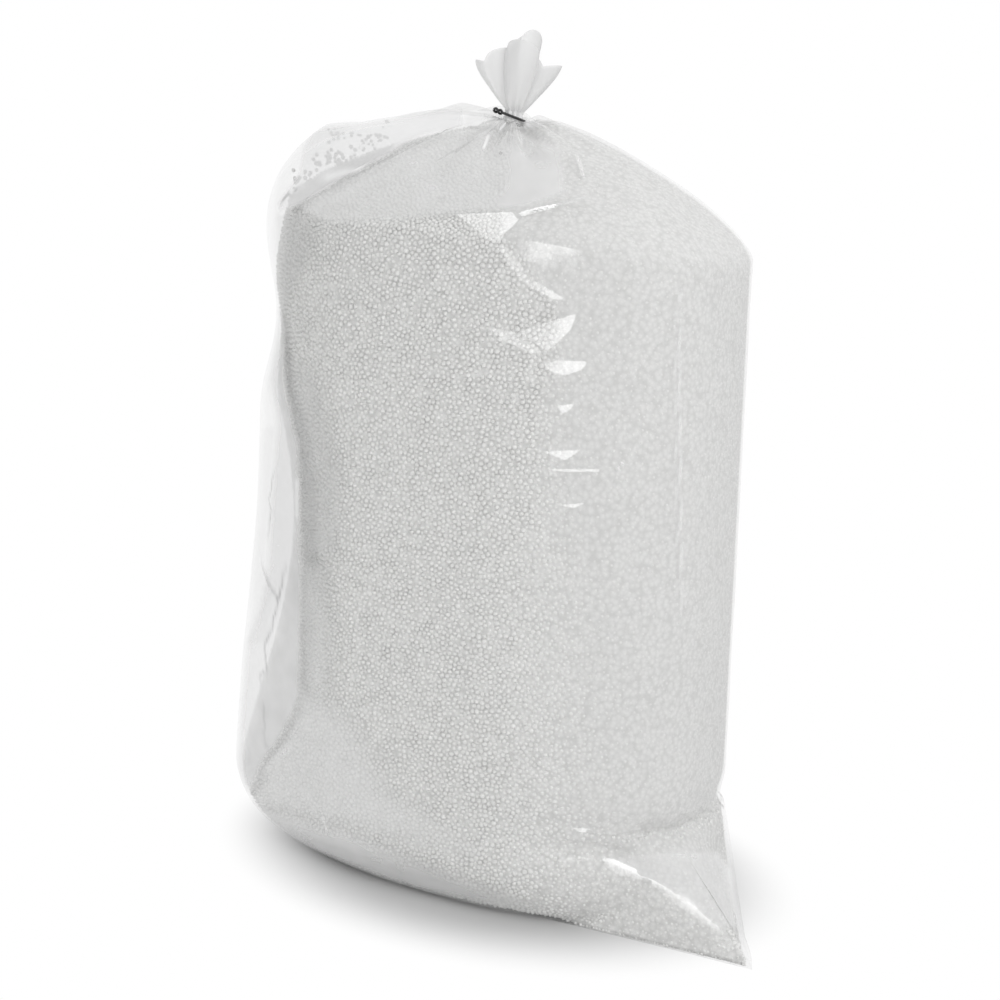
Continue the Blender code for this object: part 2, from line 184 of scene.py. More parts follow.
def smooth_bump(value, centre, half_width):
    share = abs(value - centre) / half_width
    if share >= 1.0:
        return 0.0
    return math.cos(share * math.pi / 2.0) ** 2


def smooth_step(value, low, high):
    share = min(1.0, max(0.0, (value - low) / (high - low)))
    return share * share * (3.0 - 2.0 * share)


def angle_between(angle, other):
    return (angle - other + math.pi) % (2.0 * math.pi) - math.pi


def angle_bump(angle, centre, half_width):
    return smooth_bump(angle_between(angle, centre), 0.0, half_width)


def top_side(angle):
    turn = math.degrees(angle) % 360.0
    first = TOP_SIDES[0][0]
    turn = first + (turn - first) % 360.0
    closed = list(TOP_SIDES) + [(first + 360.0, *TOP_SIDES[0][1:])]
    for low, high in zip(closed, closed[1:]):
        if turn <= high[0]:
            share = (turn - low[0]) / (high[0] - low[0])
            ease = smooth_step(share, 0.0, 1.0)
            return [a + (b - a) * ease for a, b in zip(low[1:], high[1:])]
    return list(closed[0][1:])


def oval_radius(angle, half_width, half_depth):
    across = abs(math.cos(angle) / half_width) ** BODY_SQUARENESS
    along = abs(math.sin(angle) / half_depth) ** BODY_SQUARENESS
    return (across + along) ** (-1.0 / BODY_SQUARENESS)


def body_radius(angle, height):
    low = 1.0 - height / SHOULDER_HEIGHT
    half_width = (BODY_WIDTH + BOTTOM_SPREAD_X * low) / 2.0
    half_depth = (BODY_DEPTH + BOTTOM_SPREAD_Y * low) / 2.0
    if height < CORNER_HEIGHT:
        rest = 1.0 - height / CORNER_HEIGHT
        tuck = 1.0 - math.sqrt(max(0.0, 1.0 - rest * rest))
        half_width -= BASE_INSET_X * tuck
        half_depth -= BASE_INSET_Y * tuck
    radius = oval_radius(angle, half_width, half_depth)
    if height < LEFT_HEEL_HEIGHT:
        rest = 1.0 - height / LEFT_HEEL_HEIGHT
        radius -= LEFT_HEEL_INSET * rest * rest * max(0.0, -math.cos(angle)) ** 2
    return radius


def ear_foot(angle, inset):
    """The ear's outline on the floor, straight between its corners, or zero outside the ear."""
    corners = (
        (EAR_FRONT_ANGLE, 0.0),
        (EAR_ANGLE, EAR_REACH),
        (EAR_HEEL_ANGLE, EAR_HEEL_REACH),
        (EAR_BACK_ANGLE, 0.0),
    )
    spots = [(a, body_radius(a, 0.0) + max(0.0, reach - inset)) for a, reach in corners]
    for (start, near), (end, far) in zip(spots, spots[1:]):
        turn = angle_between(angle, start)
        spread = end - start
        if 0.0 <= turn <= spread:
            cross = near * far * math.sin(spread)
            return cross / (near * math.sin(turn) + far * math.sin(spread - turn))
    return 0.0


def ear_radius(angle, height, inset):
    """The ear's face, nearly upright up to its crest, and its top, which falls back from there."""
    foot = ear_foot(angle, inset)
    past_tip = max(0.0, angle_between(angle, EAR_ANGLE))
    heel_share = min(1.0, past_tip / (EAR_HEEL_ANGLE - EAR_ANGLE))
    top = EAR_HEIGHT + (EAR_HEEL_HEIGHT - EAR_HEIGHT) * heel_share
    if foot == 0.0 or height >= top:
        return 0.0
    tip = body_radius(EAR_ANGLE, 0.0) + EAR_REACH - inset
    from_tip = max(0.0, (tip - foot) / EAR_REACH)
    crest = EAR_CREST_LOW + (EAR_CREST_HIGH - EAR_CREST_LOW) * from_tip
    crest = min(crest, EAR_CREST_HIGH) * max(0.0, 1.0 - past_tip / EAR_CREST_FADE)
    edge = foot - EAR_FACE_LEAN * min(height, crest)
    if height <= crest:
        return edge
    return edge + (body_radius(angle, top) - edge) * (height - crest) / (top - crest)


def film_radius(angle, height, ear_inset=0.0):
    """The film's wall at a height: body, rim, ear, creases, ear valley and waist."""
    radius = body_radius(angle, height)
    drawn = max(0.0, 1.0 - (SHOULDER_HEIGHT - height) / RIM_HEIGHT)
    radius -= RIM_DRAW * drawn * drawn * angle_bump(angle, RIM_ANGLE, RIM_HALF_ANGLE)
    valley = smooth_bump(height, EAR_VALLEY_HEIGHT, EAR_VALLEY_HALF_HEIGHT)
    radius -= EAR_VALLEY_DEPTH * valley * angle_bump(angle, EAR_ANGLE, EAR_VALLEY_HALF_ANGLE)
    waist = WAIST_DEPTH * smooth_bump(height, WAIST_HEIGHT, WAIST_HALF_HEIGHT)
    flank = FLANK_DEPTH * smooth_bump(height, FLANK_HEIGHT, FLANK_HALF_HEIGHT)
    radius -= (waist + flank) * angle_bump(angle, WAIST_ANGLE, WAIST_HALF_ANGLE)
    ear = ear_radius(angle, height, ear_inset)
    if ear > radius:
        radius = ear
    for crease_angle in (EAR_ANGLE, EAR_ANGLE + math.pi):
        radius += CREASE_RISE * angle_bump(angle, crease_angle, CREASE_HALF_ANGLE)
    return radius


def bead_pockets(angle, height):
    side = angle_bump(angle, SIDE_POCKET_ANGLE, SIDE_POCKET_HALF_ANGLE)
    pocket = SIDE_POCKET_DEPTH * smooth_bump(height, SIDE_POCKET_HEIGHT, SIDE_POCKET_HALF_HEIGHT)
    shoulder = SHOULDER_POCKET_DEPTH * smooth_bump(
        height, SHOULDER_POCKET_HEIGHT, SHOULDER_POCKET_HALF_HEIGHT
    )
    crease = 0.0
    for crease_angle in (EAR_ANGLE, EAR_ANGLE + math.pi):
        crease += CREASE_RISE * angle_bump(angle, crease_angle, CREASE_HALF_ANGLE)
    fold = SEEN_EAR_AIR * smooth_bump(height, EAR_HEIGHT / 2.0, EAR_HEIGHT)
    fold *= angle_bump(angle, EAR_ANGLE, EAR_VALLEY_HALF_ANGLE)
    return crease + fold + side * (pocket + shoulder)


def wall_point(angle, height, radius):
    centre = BODY_CENTRE_X + BODY_LEAN_X * (1.0 - height / SHOULDER_HEIGHT)
    return Vector((centre + radius * math.cos(angle), radius * math.sin(angle), height))


def lifted(angle, height):
    share = height / SHOULDER_HEIGHT
    return height + top_side(angle)[0] * share * share


def neck_drop(x, y):
    along = (x - NECK_X) * math.cos(NECK_LEAN_TOWARDS)
    along += (y - NECK_Y) * math.sin(NECK_LEAN_TOWARDS)
    return along * math.tan(NECK_LEAN)


def top_point(angle, share, start_radius, highest_peak=math.inf, most_square=math.inf):
    lift, peak, squareness = top_side(angle)
    peak = min(peak, highest_peak)
    squareness = min(squareness, most_square)
    start = wall_point(angle, SHOULDER_HEIGHT, start_radius)
    low = SHOULDER_HEIGHT + lift
    x = start.x + (NECK_X + NECK_RADIUS * math.cos(angle) - start.x) * share
    y = start.y + (NECK_Y + NECK_RADIUS * math.sin(angle) - start.y) * share
    arch = (1.0 - (1.0 - share) ** squareness) ** (1.0 / squareness)
    z = low + (TIE_HEIGHT + peak - low) * arch
    near = smooth_step(share, COLLAR_START, 1.0)
    collar = TIE_HEIGHT - COLLAR_RISE - neck_drop(x, y)
    return Vector((x, y, z + (collar - z) * near))


def pleat(angle):
    even = math.cos(TOP_PLEATS * angle + PLEAT_DRIFT * math.sin(2.0 * angle + PLEAT_START))
    broad = math.cos(BROAD_PLEATS * angle + BROAD_PLEAT_START)
    return even + (broad - even) * BROAD_PLEAT_SHARE


def film_top_point(angle, share):
    point = top_point(angle, share, film_radius(angle, SHOULDER_HEIGHT))
    rise = TOP_PLEAT_HEIGHT * smooth_bump(share, TOP_PLEAT_MIDDLE, TOP_PLEAT_HALF_SPAN)
    point.z += rise * pleat(angle)
    for x, y, reach, height in TOP_CORNERS:
        away = math.hypot(point.x - x, point.y - y)
        point.z += height * max(0.0, 1.0 - away / reach)
    out = Vector((math.cos(angle), math.sin(angle), 0.0))
    return point + out * NECK_PLEAT_DEPTH * (pleat(angle) - 1.0) * share**NECK_PLEAT_ONSET


def neck_axes():
    toward = Vector((math.cos(NECK_LEAN_TOWARDS), math.sin(NECK_LEAN_TOWARDS), 0.0))
    axis = toward * math.sin(NECK_LEAN) + Vector((0.0, 0.0, math.cos(NECK_LEAN)))
    side = axis.cross(toward).normalized()
    front = side.cross(axis).normalized()
    return axis, front, side


NECK_AXIS, NECK_FRONT, NECK_SIDE = neck_axes()


def neck_point(angle, rise, radius):
    turn = angle - NECK_LEAN_TOWARDS
    centre = Vector((NECK_X, NECK_Y, TIE_HEIGHT)) + NECK_AXIS * rise
    return centre + NECK_FRONT * (radius * math.cos(turn)) + NECK_SIDE * (radius * math.sin(turn))


def neck_film_radius(angle):
    return NECK_RADIUS + NECK_PLEAT_DEPTH * (pleat(angle) - 1.0)


def tuft_point(angle, share):
    start = neck_film_radius(angle)
    radius = start + (TUFT_HOLLOW_RADIUS - start) * share
    height = TUFT_HOLLOW_HEIGHT
    for toward, half_width, lobe_reach, lobe_height, flare in TUFT_LOBES:
        lobe = angle_bump(angle, math.radians(toward), math.radians(half_width)) ** TUFT_ROUNDNESS
        edge = TUFT_HOLLOW_RADIUS + (lobe_reach - TUFT_HOLLOW_RADIUS) * lobe
        spread = (1.0 + TUFT_TURN_IN) * share**flare - TUFT_TURN_IN * share**TUFT_TURN_POWER
        radius = max(radius, start + (edge - start) * spread)
        height = max(height, TUFT_HOLLOW_HEIGHT + (lobe_height - TUFT_HOLLOW_HEIGHT) * lobe)
    return neck_point(angle, COLLAR_RISE + (height - COLLAR_RISE) * share, radius)


def even_angles(start, end, count, fine=(), fineness=1.0):
    """Directions from start to end that share the girth evenly, closer where it is fine."""
    fan = [start + (end - start) * i / GIRTH_STEPS for i in range(GIRTH_STEPS + 1)]
    ring = [Vector((math.cos(a), math.sin(a))) * body_radius(a, SHOULDER_HEIGHT / 2) for a in fan]
    run = [0.0]
    for angle, here, there in zip(fan, ring, ring[1:]):
        weight = 1.0
        if fine and fine[0] < angle < fine[1]:
            weight = fineness
        run.append(run[-1] + (there - here).length * weight)
    return [float(np.interp(run[-1] * i / count, run, fan)) for i in range(count + 1)]


def mesh_from(name, shape):
    """A smooth mesh from a finished bmesh."""
    mesh = bpy.data.meshes.new(name)
    shape.to_mesh(mesh)
    shape.free()
    mesh.shade_smooth()
    return mesh


def add_piece(name, mesh, material):
    piece = bpy.data.objects.new(name, mesh)
    bpy.context.scene.collection.objects.link(piece)
    mesh.materials.clear()
    mesh.materials.append(material)
    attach(piece, "root")
    return piece


# Camera

def make_camera():
    data = bpy.data.cameras.new("photo_camera")
    data.sensor_width = SENSOR
    data.lens = SENSOR * FOCAL_PIXELS / IMAGE_SIZE
    camera = bpy.data.objects.new("photo_camera", data)
    bpy.context.scene.collection.objects.link(camera)
    place = Vector((math.sin(CAMERA_AZIMUTH), -math.cos(CAMERA_AZIMUTH), 0.0)) * CAMERA_DISTANCE
    turn = Matrix.Rotation(CAMERA_AZIMUTH, 4, "Z")
    turn = turn @ Matrix.Rotation(math.pi / 2.0 - CAMERA_PITCH, 4, "X")
    turn = turn @ Matrix.Rotation(CAMERA_ROLL, 4, "Z")
    camera.matrix_world = Matrix.Translation(place + Vector((0.0, 0.0, CAMERA_HEIGHT))) @ turn
    bpy.context.scene.camera = camera
    return camera


camera = make_camera()
CAMERA_PLACE = camera.matrix_world.translation.copy()
CAMERA_TURN = camera.matrix_world.to_3x3()


def pixel_ray(x, y):
    """Direction through a pixel of the 1000 by 1000 photograph."""
    half = IMAGE_SIZE / 2.0
    ray = Vector(((x - half) / FOCAL_PIXELS, (half - y) / FOCAL_PIXELS, -1.0))
    return (CAMERA_TURN @ ray).normalized()


# Film, as two halves that meet at the lay-flat creases

FRONT_COLUMNS = 272
BACK_COLUMNS = 150
GLOSS_SPAN = (math.radians(-80.0), math.radians(-33.0))
GLOSS_FINENESS = 1.9
BASE_ROWS = 5
CORNER_ROWS = 46
LOW_ROWS = 46
HIGH_ROWS = 150
TOP_ROWS = 76
TUFT_ROWS = 22
CORNER_TOP = 0.132
CORNER_EASE = 0.2
GLOSS_LOW = 0.335
TOP_ROW_EASE = 1.2


def film_stations():
    """Rows of the film from the middle of the base to the tips of the tuft."""
    stations = [("base", i / BASE_ROWS) for i in range(BASE_ROWS)]
    for i in range(CORNER_ROWS):
        share = i / CORNER_ROWS
        stations.append(("wall", CORNER_TOP * ((1.0 - CORNER_EASE) * share + CORNER_EASE * share**2)))
    for i in range(LOW_ROWS):
        stations.append(("wall", CORNER_TOP + (GLOSS_LOW - CORNER_TOP) * i / LOW_ROWS))
    for i in range(HIGH_ROWS + 1):
        stations.append(("wall", GLOSS_LOW + (SHOULDER_HEIGHT - GLOSS_LOW) * i / HIGH_ROWS))
    for i in range(1, TOP_ROWS + 1):
        stations.append(("top", (i / TOP_ROWS) ** TOP_ROW_EASE))
    for rise in (-TIE_SEAT_RISE, 0.0, TIE_SEAT_RISE):
        stations.append(("neck", rise))
    for i in range(TUFT_ROWS + 1):
        stations.append(("tuft", i / TUFT_ROWS))
    return stations


def film_point(angle, kind, value):
    if kind == "base":
        edge = wall_point(angle, 0.0, film_radius(angle, 0.0))
        centre = wall_point(0.0, 0.0, 0.0)
        return centre + (edge - centre) * value
    if kind == "wall":
        return wall_point(angle, lifted(angle, value), film_radius(angle, value))
    if kind == "top":
        return film_top_point(angle, value)
    if kind == "neck":
        return neck_point(angle, value, neck_film_radius(angle))
    return tuft_point(angle, value)


def sheet_arrays(angles, stations):
    """Places and outward normals of a sheet, row by row from the base up."""
    places = np.array([[film_point(a, *s) for a in angles] for s in stations])
    along = np.gradient(places, axis=1)
    up = np.gradient(places, axis=0)
    normals = np.cross(along, up)
    length = np.linalg.norm(normals, axis=2, keepdims=True)
    normals = normals / np.maximum(length, 1e-12)
    if angles[1] < angles[0]:
        normals = -normals
    return places, normals


def grid_tree(places):
    rows, columns = places.shape[:2]
    index = np.arange(rows * columns).reshape(rows, columns)
    quads = np.stack([index[:-1, :-1], index[:-1, 1:], index[1:, 1:], index[1:, :-1]], axis=-1)
    flat = places.reshape(-1, 3)
    return BVHTree.FromPolygons(flat.tolist(), quads.reshape(-1, 4).tolist())


def bent_grid(places, layers, outward):
    """A grid bent to the places, which carries the values that its material reads."""
    rows, columns = places.shape[:2]
    sheet = bmesh.new()
    bmesh.ops.create_grid(sheet, x_segments=columns - 1, y_segments=rows - 1, size=0.5)
    for name, values in layers.items():
        kind = sheet.verts.layers.float if values.ndim == 2 else sheet.verts.layers.float_vector
        layer = kind.new(name)
        sheet.verts.ensure_lookup_table()
        flat = values.reshape(rows * columns, -1)
        for vert, value in zip(sheet.verts, flat.tolist()):
            vert[layer] = value[0] if values.ndim == 2 else value
    for vert, place in zip(sheet.verts, places.reshape(-1, 3).tolist()):
        vert.co = place
    bmesh.ops.remove_doubles(sheet, verts=sheet.verts, dist=MERGE_DISTANCE)
    sheet.normal_update()
    if not outward:
        bmesh.ops.reverse_faces(sheet, faces=sheet.faces)
    return sheet


# Creases by pixels of the photograph: line, half width, rise, whitening, partly haze and partly a
# painted highlight, and darkening, which is painted shade in the fold
CREASES = (
    # Fold from the neck to the left shoulder, with a hazy streak above it
    (((462, 127), (430, 134), (400, 145), (380, 160), (350, 175), (325, 190), (300, 205)),
     0.0030, 0.0024, 0.35, 0.0),
    (((322, 179), (345, 173), (366, 169)), 0.0050, 0.0, 0.26, 0.0),
    # Short creases under the tie, and the ones that cross the front
    (((506, 122), (499, 131)), 0.0014, 0.0012, 0.5, 0.0),
    (((489, 135), (483, 150)), 0.0014, 0.0012, 0.5, 0.0),
    (((577, 156), (584, 180)), 0.0014, 0.0012, 0.5, 0.0),
    (((528, 212), (560, 206), (588, 199)), 0.0020, 0.0016, 0.35, 0.0),
    (((340, 472), (460, 468), (620, 471)), 0.0016, 0.0008, 0.16, 0.0),
    (((616, 471), (623, 461)), 0.0014, 0.0010, 0.5, 0.0),
    # Fold over the ear, darkened along its line as painted shade
    (((530, 864), (575, 857), (606, 853), (680, 847), (717, 850), (733, 858)),
     0.0022, -0.0010, 0.0, 0.12),
    # Cracked folds and soft creases of the slack strip on the left, darkened as painted shade in the
    # folds
    (((275, 471), (271, 492), (270, 516), (268, 543)), 0.0015, -0.0010, 0.3, 0.42),
    (((298, 478), (298, 520)), 0.0030, 0.0012, 0.5, 0.0),
    (((287, 564), (280, 588), (278, 600), (272, 627), (265, 646), (266, 668), (259, 677), (261, 690)),
     0.0015, -0.0010, 0.3, 0.42),
    (((262, 560), (270, 585), (280, 600)), 0.0026, 0.0014, 0.4, 0.15),
    (((263, 700), (266, 745), (272, 752)), 0.0020, -0.0008, 0.1, 0.3),
    (((295, 740), (272, 765), (250, 790)), 0.0050, 0.0016, 0.15, 0.0),
    (((324, 816), (328, 832)), 0.0022, 0.0012, 0.3, 0.0),
    (((278, 301), (284, 330), (281, 380), (290, 420)), 0.0030, -0.0012, 0.2, 0.15),
    (((279, 208), (284, 199), (292, 190), (304, 186)), 0.0013, -0.0008, 0.3, 0.5),
    # Packing crease down the right side, whitened partly as haze and partly as a painted highlight
    (((678, 214), (679, 250), (679, 300)), 0.0018, 0.0012, 0.80, 0.0),
    (((679, 300), (679, 400), (680, 500), (681, 622)), 0.0012, 0.0010, 0.36, 0.0),
    (((673, 222), (674, 300), (675, 420), (676, 560)), 0.0010, 0.0006, 0.26, 0.0),
)
# Creases whose painted shade is above this level are drawn as jagged cracks
CRACK_SHADE_LEVEL = 0.2
CRACK_STEP = 6.0
CRACK_SHAKE = 1.5
LINE_ENDS = 0.15
LINE_END_SHARE = 0.3

# Patches of the film by corners in the photograph: softness in pixels, cover and darkening, the
# darkening painted shade, and painted light where it is negative
FILM_PATCHES = (
    # Slack strip on the left: outer band, whole strip, its soft inner edge, whose cover paints light
    # over the beads' shade beside it, and its lighter foot, painted light
    (((262, 430), (277, 424), (271, 500), (266, 560), (270, 640), (240, 650), (250, 560)),
     5.0, 0.28, 0.10),
    (((280, 310), (288, 400), (300, 440), (301, 545), (304, 570), (302, 640), (301, 700), (284, 735),
      (268, 757), (247, 800), (236, 770), (246, 640), (262, 600), (268, 560), (271, 500), (277, 424),
      (270, 380)), 6.0, 0.58, 0.26),
    (((296, 556), (322, 570), (330, 640), (326, 720), (300, 745), (270, 770), (262, 757), (290, 730),
      (300, 690)), 14.0, 0.30, 0.02),
    (((240, 610), (310, 610), (310, 720), (290, 750), (240, 810)), 22.0, 0.04, -0.16),
    # Shaded band beside the strip, and the shaded flank under the shoulder
    (((291, 362), (312, 372), (320, 400), (332, 440), (338, 470), (338, 505), (343, 530), (330, 552),
      (306, 556), (302, 448), (294, 430)), 8.0, 0.26, 0.24),
    (((276, 214), (300, 213), (316, 236), (305, 264), (292, 290), (285, 312), (280, 300)),
     3.5, 0.26, 0.30),
    # Low left and the light band along the bottom edge, where the film stands off the beads and its
    # whitening is also a painted reflection of the floor's light
    (((300, 680), (350, 720), (390, 790), (470, 850), (300, 815), (250, 806), (268, 757), (284, 735)),
     20.0, 0.42, 0.0),
    (((244, 798), (266, 807), (300, 818), (345, 832), (395, 852), (470, 882), (540, 906), (470, 905),
      (300, 850)), 10.0, 0.50, 0.0),
    # Top left above the fold, the film over the shoulder below it, and round the neck
    (((312, 131), (345, 126), (400, 119), (462, 108), (462, 127), (430, 134), (400, 146), (380, 160),
      (350, 175), (325, 190), (302, 204), (280, 213), (277, 203), (298, 176), (304, 150)),
     3.0, 0.50, 0.13),
    (((302, 205), (325, 191), (350, 176), (380, 161), (400, 147), (430, 135), (462, 128), (505, 128),
      (560, 150), (565, 195), (530, 209), (455, 213), (400, 221), (330, 222), (305, 213)),
     5.0, 0.34, 0.0),
    (((480, 112), (530, 112), (545, 128), (480, 130)), 4.0, 0.40, 0.02),
    # Cloudy film over the ear
    (((604, 860), (680, 850), (716, 853), (733, 872), (742, 926), (722, 930), (660, 884)),
     4.0, 0.44, 0.0),
)
PATCH_MOTTLE = 0.10
MOTTLE_SCALE = 60.0

# Glossy facets by their corners in the photograph
GLOSSY_FACETS = (
    ((453, 214), (529, 211), (516, 226), (497, 248), (480, 234)),
    ((516, 213), (588, 198), (552, 210), (522, 219)),
    ((496, 246), (506, 247), (536, 284), (527, 288)),
    ((526, 285), (535, 281), (569, 301), (552, 299)),
    ((484, 327), (522, 332), (549, 352), (531, 354), (505, 342)),
    ((518, 332), (548, 322), (577, 313), (571, 330), (548, 352)),
    ((543, 363), (560, 360), (588, 361), (582, 370), (566, 376), (550, 372)),
    ((556, 405), (577, 402), (570, 411), (562, 415)),
    ((538, 450), (584, 449), (565, 461)),
    ((553, 504), (591, 501), (574, 509)),
    ((562, 826), (602, 824), (583, 834)),
    ((512, 864), (531, 862), (524, 869)),
    ((546, 860), (575, 856), (604, 856), (604, 860), (575, 861)),
    ((600, 856), (614, 858), (646, 873), (652, 883), (640, 881), (620, 877), (606, 868)),
    ((641, 871), (665, 886), (692, 908), (684, 911), (656, 890)),
    ((680, 899), (692, 907), (724, 932), (717, 933), (684, 910)),
    ((716, 929), (736, 930), (733, 934), (721, 935)),
    ((548, 468), (600, 468), (600, 472), (548, 472)),
)
FACET_SOFTNESS = 0.0022
# Whitening of the glossy facets, a painted highlight over the light they mirror
FACET_HIGHLIGHT_COVER = 0.06
FACET_REACH = 0.02
GLOSS_LIGHT = Vector((0.27, -2.02, 1.15))

# Where the film stands off the beads on the right, its whitening also a painted reflection of the light
# from the right: height, edge and softness in degrees
VEIL_EDGE = (
    (0.10, -40.0, 20.0),
    (0.34, -45.0, 15.0),
    (0.44, -47.0, 7.0),
    (0.59, -47.0, 2.5),
    (0.62, -54.0, 2.0),
    (0.65, -64.0, 2.0),
)
VEIL_END = (60.0, 100.0)

# Waves, grain and gathers of the film by their height, and its fog by how much it covers
WAVE_SCALE = 14.0
GRAIN_SCALE = Vector((55.0, 55.0, 30.0))
GRAIN_SHIFT = Vector((7.0, 1.0, 3.0))
CLOUD_SCALE = 30.0
WAVE_RISE = 0.0007
WALL_GRAIN = 0.00018
TOP_GRAIN = 0.00030
GATHER_RISE = 0.00022
# Gathers round the top: number, sway, how often it sways, its start, height, onset and full share
GATHERS = (
    (37.0, 2.5, 3.0, 0.0, 1.0, 0.25, 0.75),
    (61.0, 4.0, 2.0, 1.0, 0.6, 0.55, 0.90),
)
GATHER_END = 0.93
TUFT_CRUMPLE = 0.00025
TUFT_CRUMPLES = 9.0
TUFT_CRUMPLE_SWAY = 3.0
TUFT_CRUMPLE_FULL = 0.3
# Fog of the film where clear, where cloudy and where veiled; the veiled share is partly a painted
# reflection
WALL_FOG = (0.01, 0.04, 0.20)
TOP_FOG = (0.08, 0.10, 0.05)
TOP_FOG_ONSET = (0.02, 0.14)
# Whitening at the left heel, where the film stands off the beads, and a painted reflection of the
# floor's light
HEEL_HAZE_AND_GLARE = 0.20
# Heights over which the waves, the veil and the back crease set in, and the heel's haze and painted
# glare end
WAVE_ONSET = (0.0, 0.03)
VEIL_ONSET = (0.07, 0.11)
CREASE_ONSET = (0.16, 0.45)
HEEL_GLARE_END = (0.012, 0.040)
HEEL_GLARE_TURN = (55.0, 80.0)
CREASE_FOG = 0.35
CREASE_WIDTH = 0.0016 / 0.24
NECK_FOG = 0.8
TUFT_FOG = (0.56, 0.08)
# The tuft's colour is darkened as painted shade, less on its left lobe, a painted lighter side
TUFT_SHADE = 0.15
TUFT_PAINTED_LIGHT = 0.13
TUFT_BRIGHT_ANGLE = math.radians(205.0)
TUFT_BRIGHT_HALF_ANGLE = math.radians(50.0)


def smooth_array(values, low, high):
    share = np.clip((values - low) / (high - low), 0.0, 1.0)
    return share * share * (3.0 - 2.0 * share)


def roughened(pixels, rng):
    """A pixel line broken into short jagged steps."""
    rough = [pixels[0]]
    for (x0, y0), (x1, y1) in zip(pixels, pixels[1:]):
        steps = max(1, int(math.hypot(x1 - x0, y1 - y0) / CRACK_STEP))
        for i in range(1, steps + 1):
            share = i / steps
            shake = [rng.uniform(-CRACK_SHAKE, CRACK_SHAKE) for axis in range(2)]
            rough.append((x0 + (x1 - x0) * share + shake[0], y0 + (y1 - y0) * share + shake[1]))
    return rough


def film_spots(tree, pixels):
    """Where the rays through pixels of the photograph meet the film."""
    hits = [tree.ray_cast(CAMERA_PLACE, pixel_ray(*pixel))[0] for pixel in pixels]
    return [hit for hit in hits if hit is not None]


def near_line(places, spots, width):
    """How near each place is to a line of spots, fading at the line's ends."""
    nearest = np.full(places.shape[:2], 1.0)
    run = np.zeros(places.shape[:2])
    total = sum((b - a).length for a, b in zip(spots, spots[1:]))
    gone = 0.0
    for a, b in zip(spots, spots[1:]):
        step = np.array(b - a)
        length = np.linalg.norm(step)
        share = np.clip(((places - np.array(a)) @ step) / length**2, 0.0, 1.0)
        away = np.linalg.norm(places - (np.array(a) + share[..., None] * step), axis=2)
        closer = away < nearest
        nearest = np.where(closer, away, nearest)
        run = np.where(closer, (gone + share * length) / total, run)
        gone += length
    ends = smooth_array(run, 0.0, LINE_ENDS) * smooth_array(1.0 - run, 0.0, LINE_ENDS)
    return np.exp(-((nearest / width) ** 2)) * (LINE_END_SHARE + (1.0 - LINE_END_SHARE) * ends)


def pixel_places(places):
    """Where each place lies in the photograph, in pixels."""
    local = (places - np.array(CAMERA_PLACE)) @ np.array(CAMERA_TURN)
    scale = FOCAL_PIXELS / -local[..., 2]
    half = IMAGE_SIZE / 2.0
    return half + local[..., 0] * scale, half - local[..., 1] * scale


def inside_outline(pixels, corners):
    """How far inside a closed outline each pixel place lies, in pixels."""
    x, y = pixels
    nearest = np.full(x.shape, IMAGE_SIZE)
    within = np.zeros(x.shape, dtype=bool)
    for (x0, y0), (x1, y1) in zip(corners, corners[1:] + corners[:1]):
        run_x, run_y = x1 - x0, y1 - y0
        share = ((x - x0) * run_x + (y - y0) * run_y) / (run_x**2 + run_y**2)
        share = np.clip(share, 0.0, 1.0)
        nearest = np.minimum(nearest, np.hypot(x - x0 - share * run_x, y - y0 - share * run_y))
        if run_y != 0:
            crossing = x0 + (y - y0) * run_x / run_y
            within ^= ((y0 > y) != (y1 > y)) & (x < crossing)
    return np.where(within, nearest, -nearest)


def inside_facet(places, spots):
    """How far inside a flat facet each place lies."""
    corners = [np.array(spot) for spot in spots]
    middle = sum(corners) / len(corners)
    facing = np.zeros(3)
    for a, b in zip(corners, corners[1:] + corners[:1]):
        facing += np.cross(a - middle, b - middle)
    facing /= np.linalg.norm(facing)
    inside = np.full(places.shape[:2], 1.0)
    for a, b in zip(corners, corners[1:] + corners[:1]):
        inward = np.cross(facing, (b - a) / np.linalg.norm(b - a))
        inside = np.minimum(inside, (places - a) @ inward)
    beside = np.abs((places - middle) @ facing) < FACET_REACH
    return np.where(beside, inside, -1.0), middle


def veil_and_glare(angle, height):
    """The film stands off the beads on the right and hides their grain; its whitening there is also a
    painted reflection of the light from the right.
    """
    turn = math.degrees(angle)
    heights, edges, soft = zip(*VEIL_EDGE)
    edge = float(np.interp(height, heights, edges))
    wide = float(np.interp(height, heights, soft))
    return smooth_step(turn, edge - wide, edge + wide) * (1.0 - smooth_step(turn, *VEIL_END))


def add_creases(looks, places, seen, tree):
    rng = random.Random(3)
    for pixels, width, rise, whiten, painted_shade in CREASES:
        if painted_shade > CRACK_SHADE_LEVEL:
            pixels = roughened(pixels, rng)
        spots = film_spots(tree, pixels)
        if len(spots) > 1:
            near = near_line(places, spots, width) * seen
            # The crease's whitening is partly a painted highlight, and its darkening is painted shade
            looks["relief"] += rise * near
            looks["white"] += whiten * near
            looks["dark"] += painted_shade * near


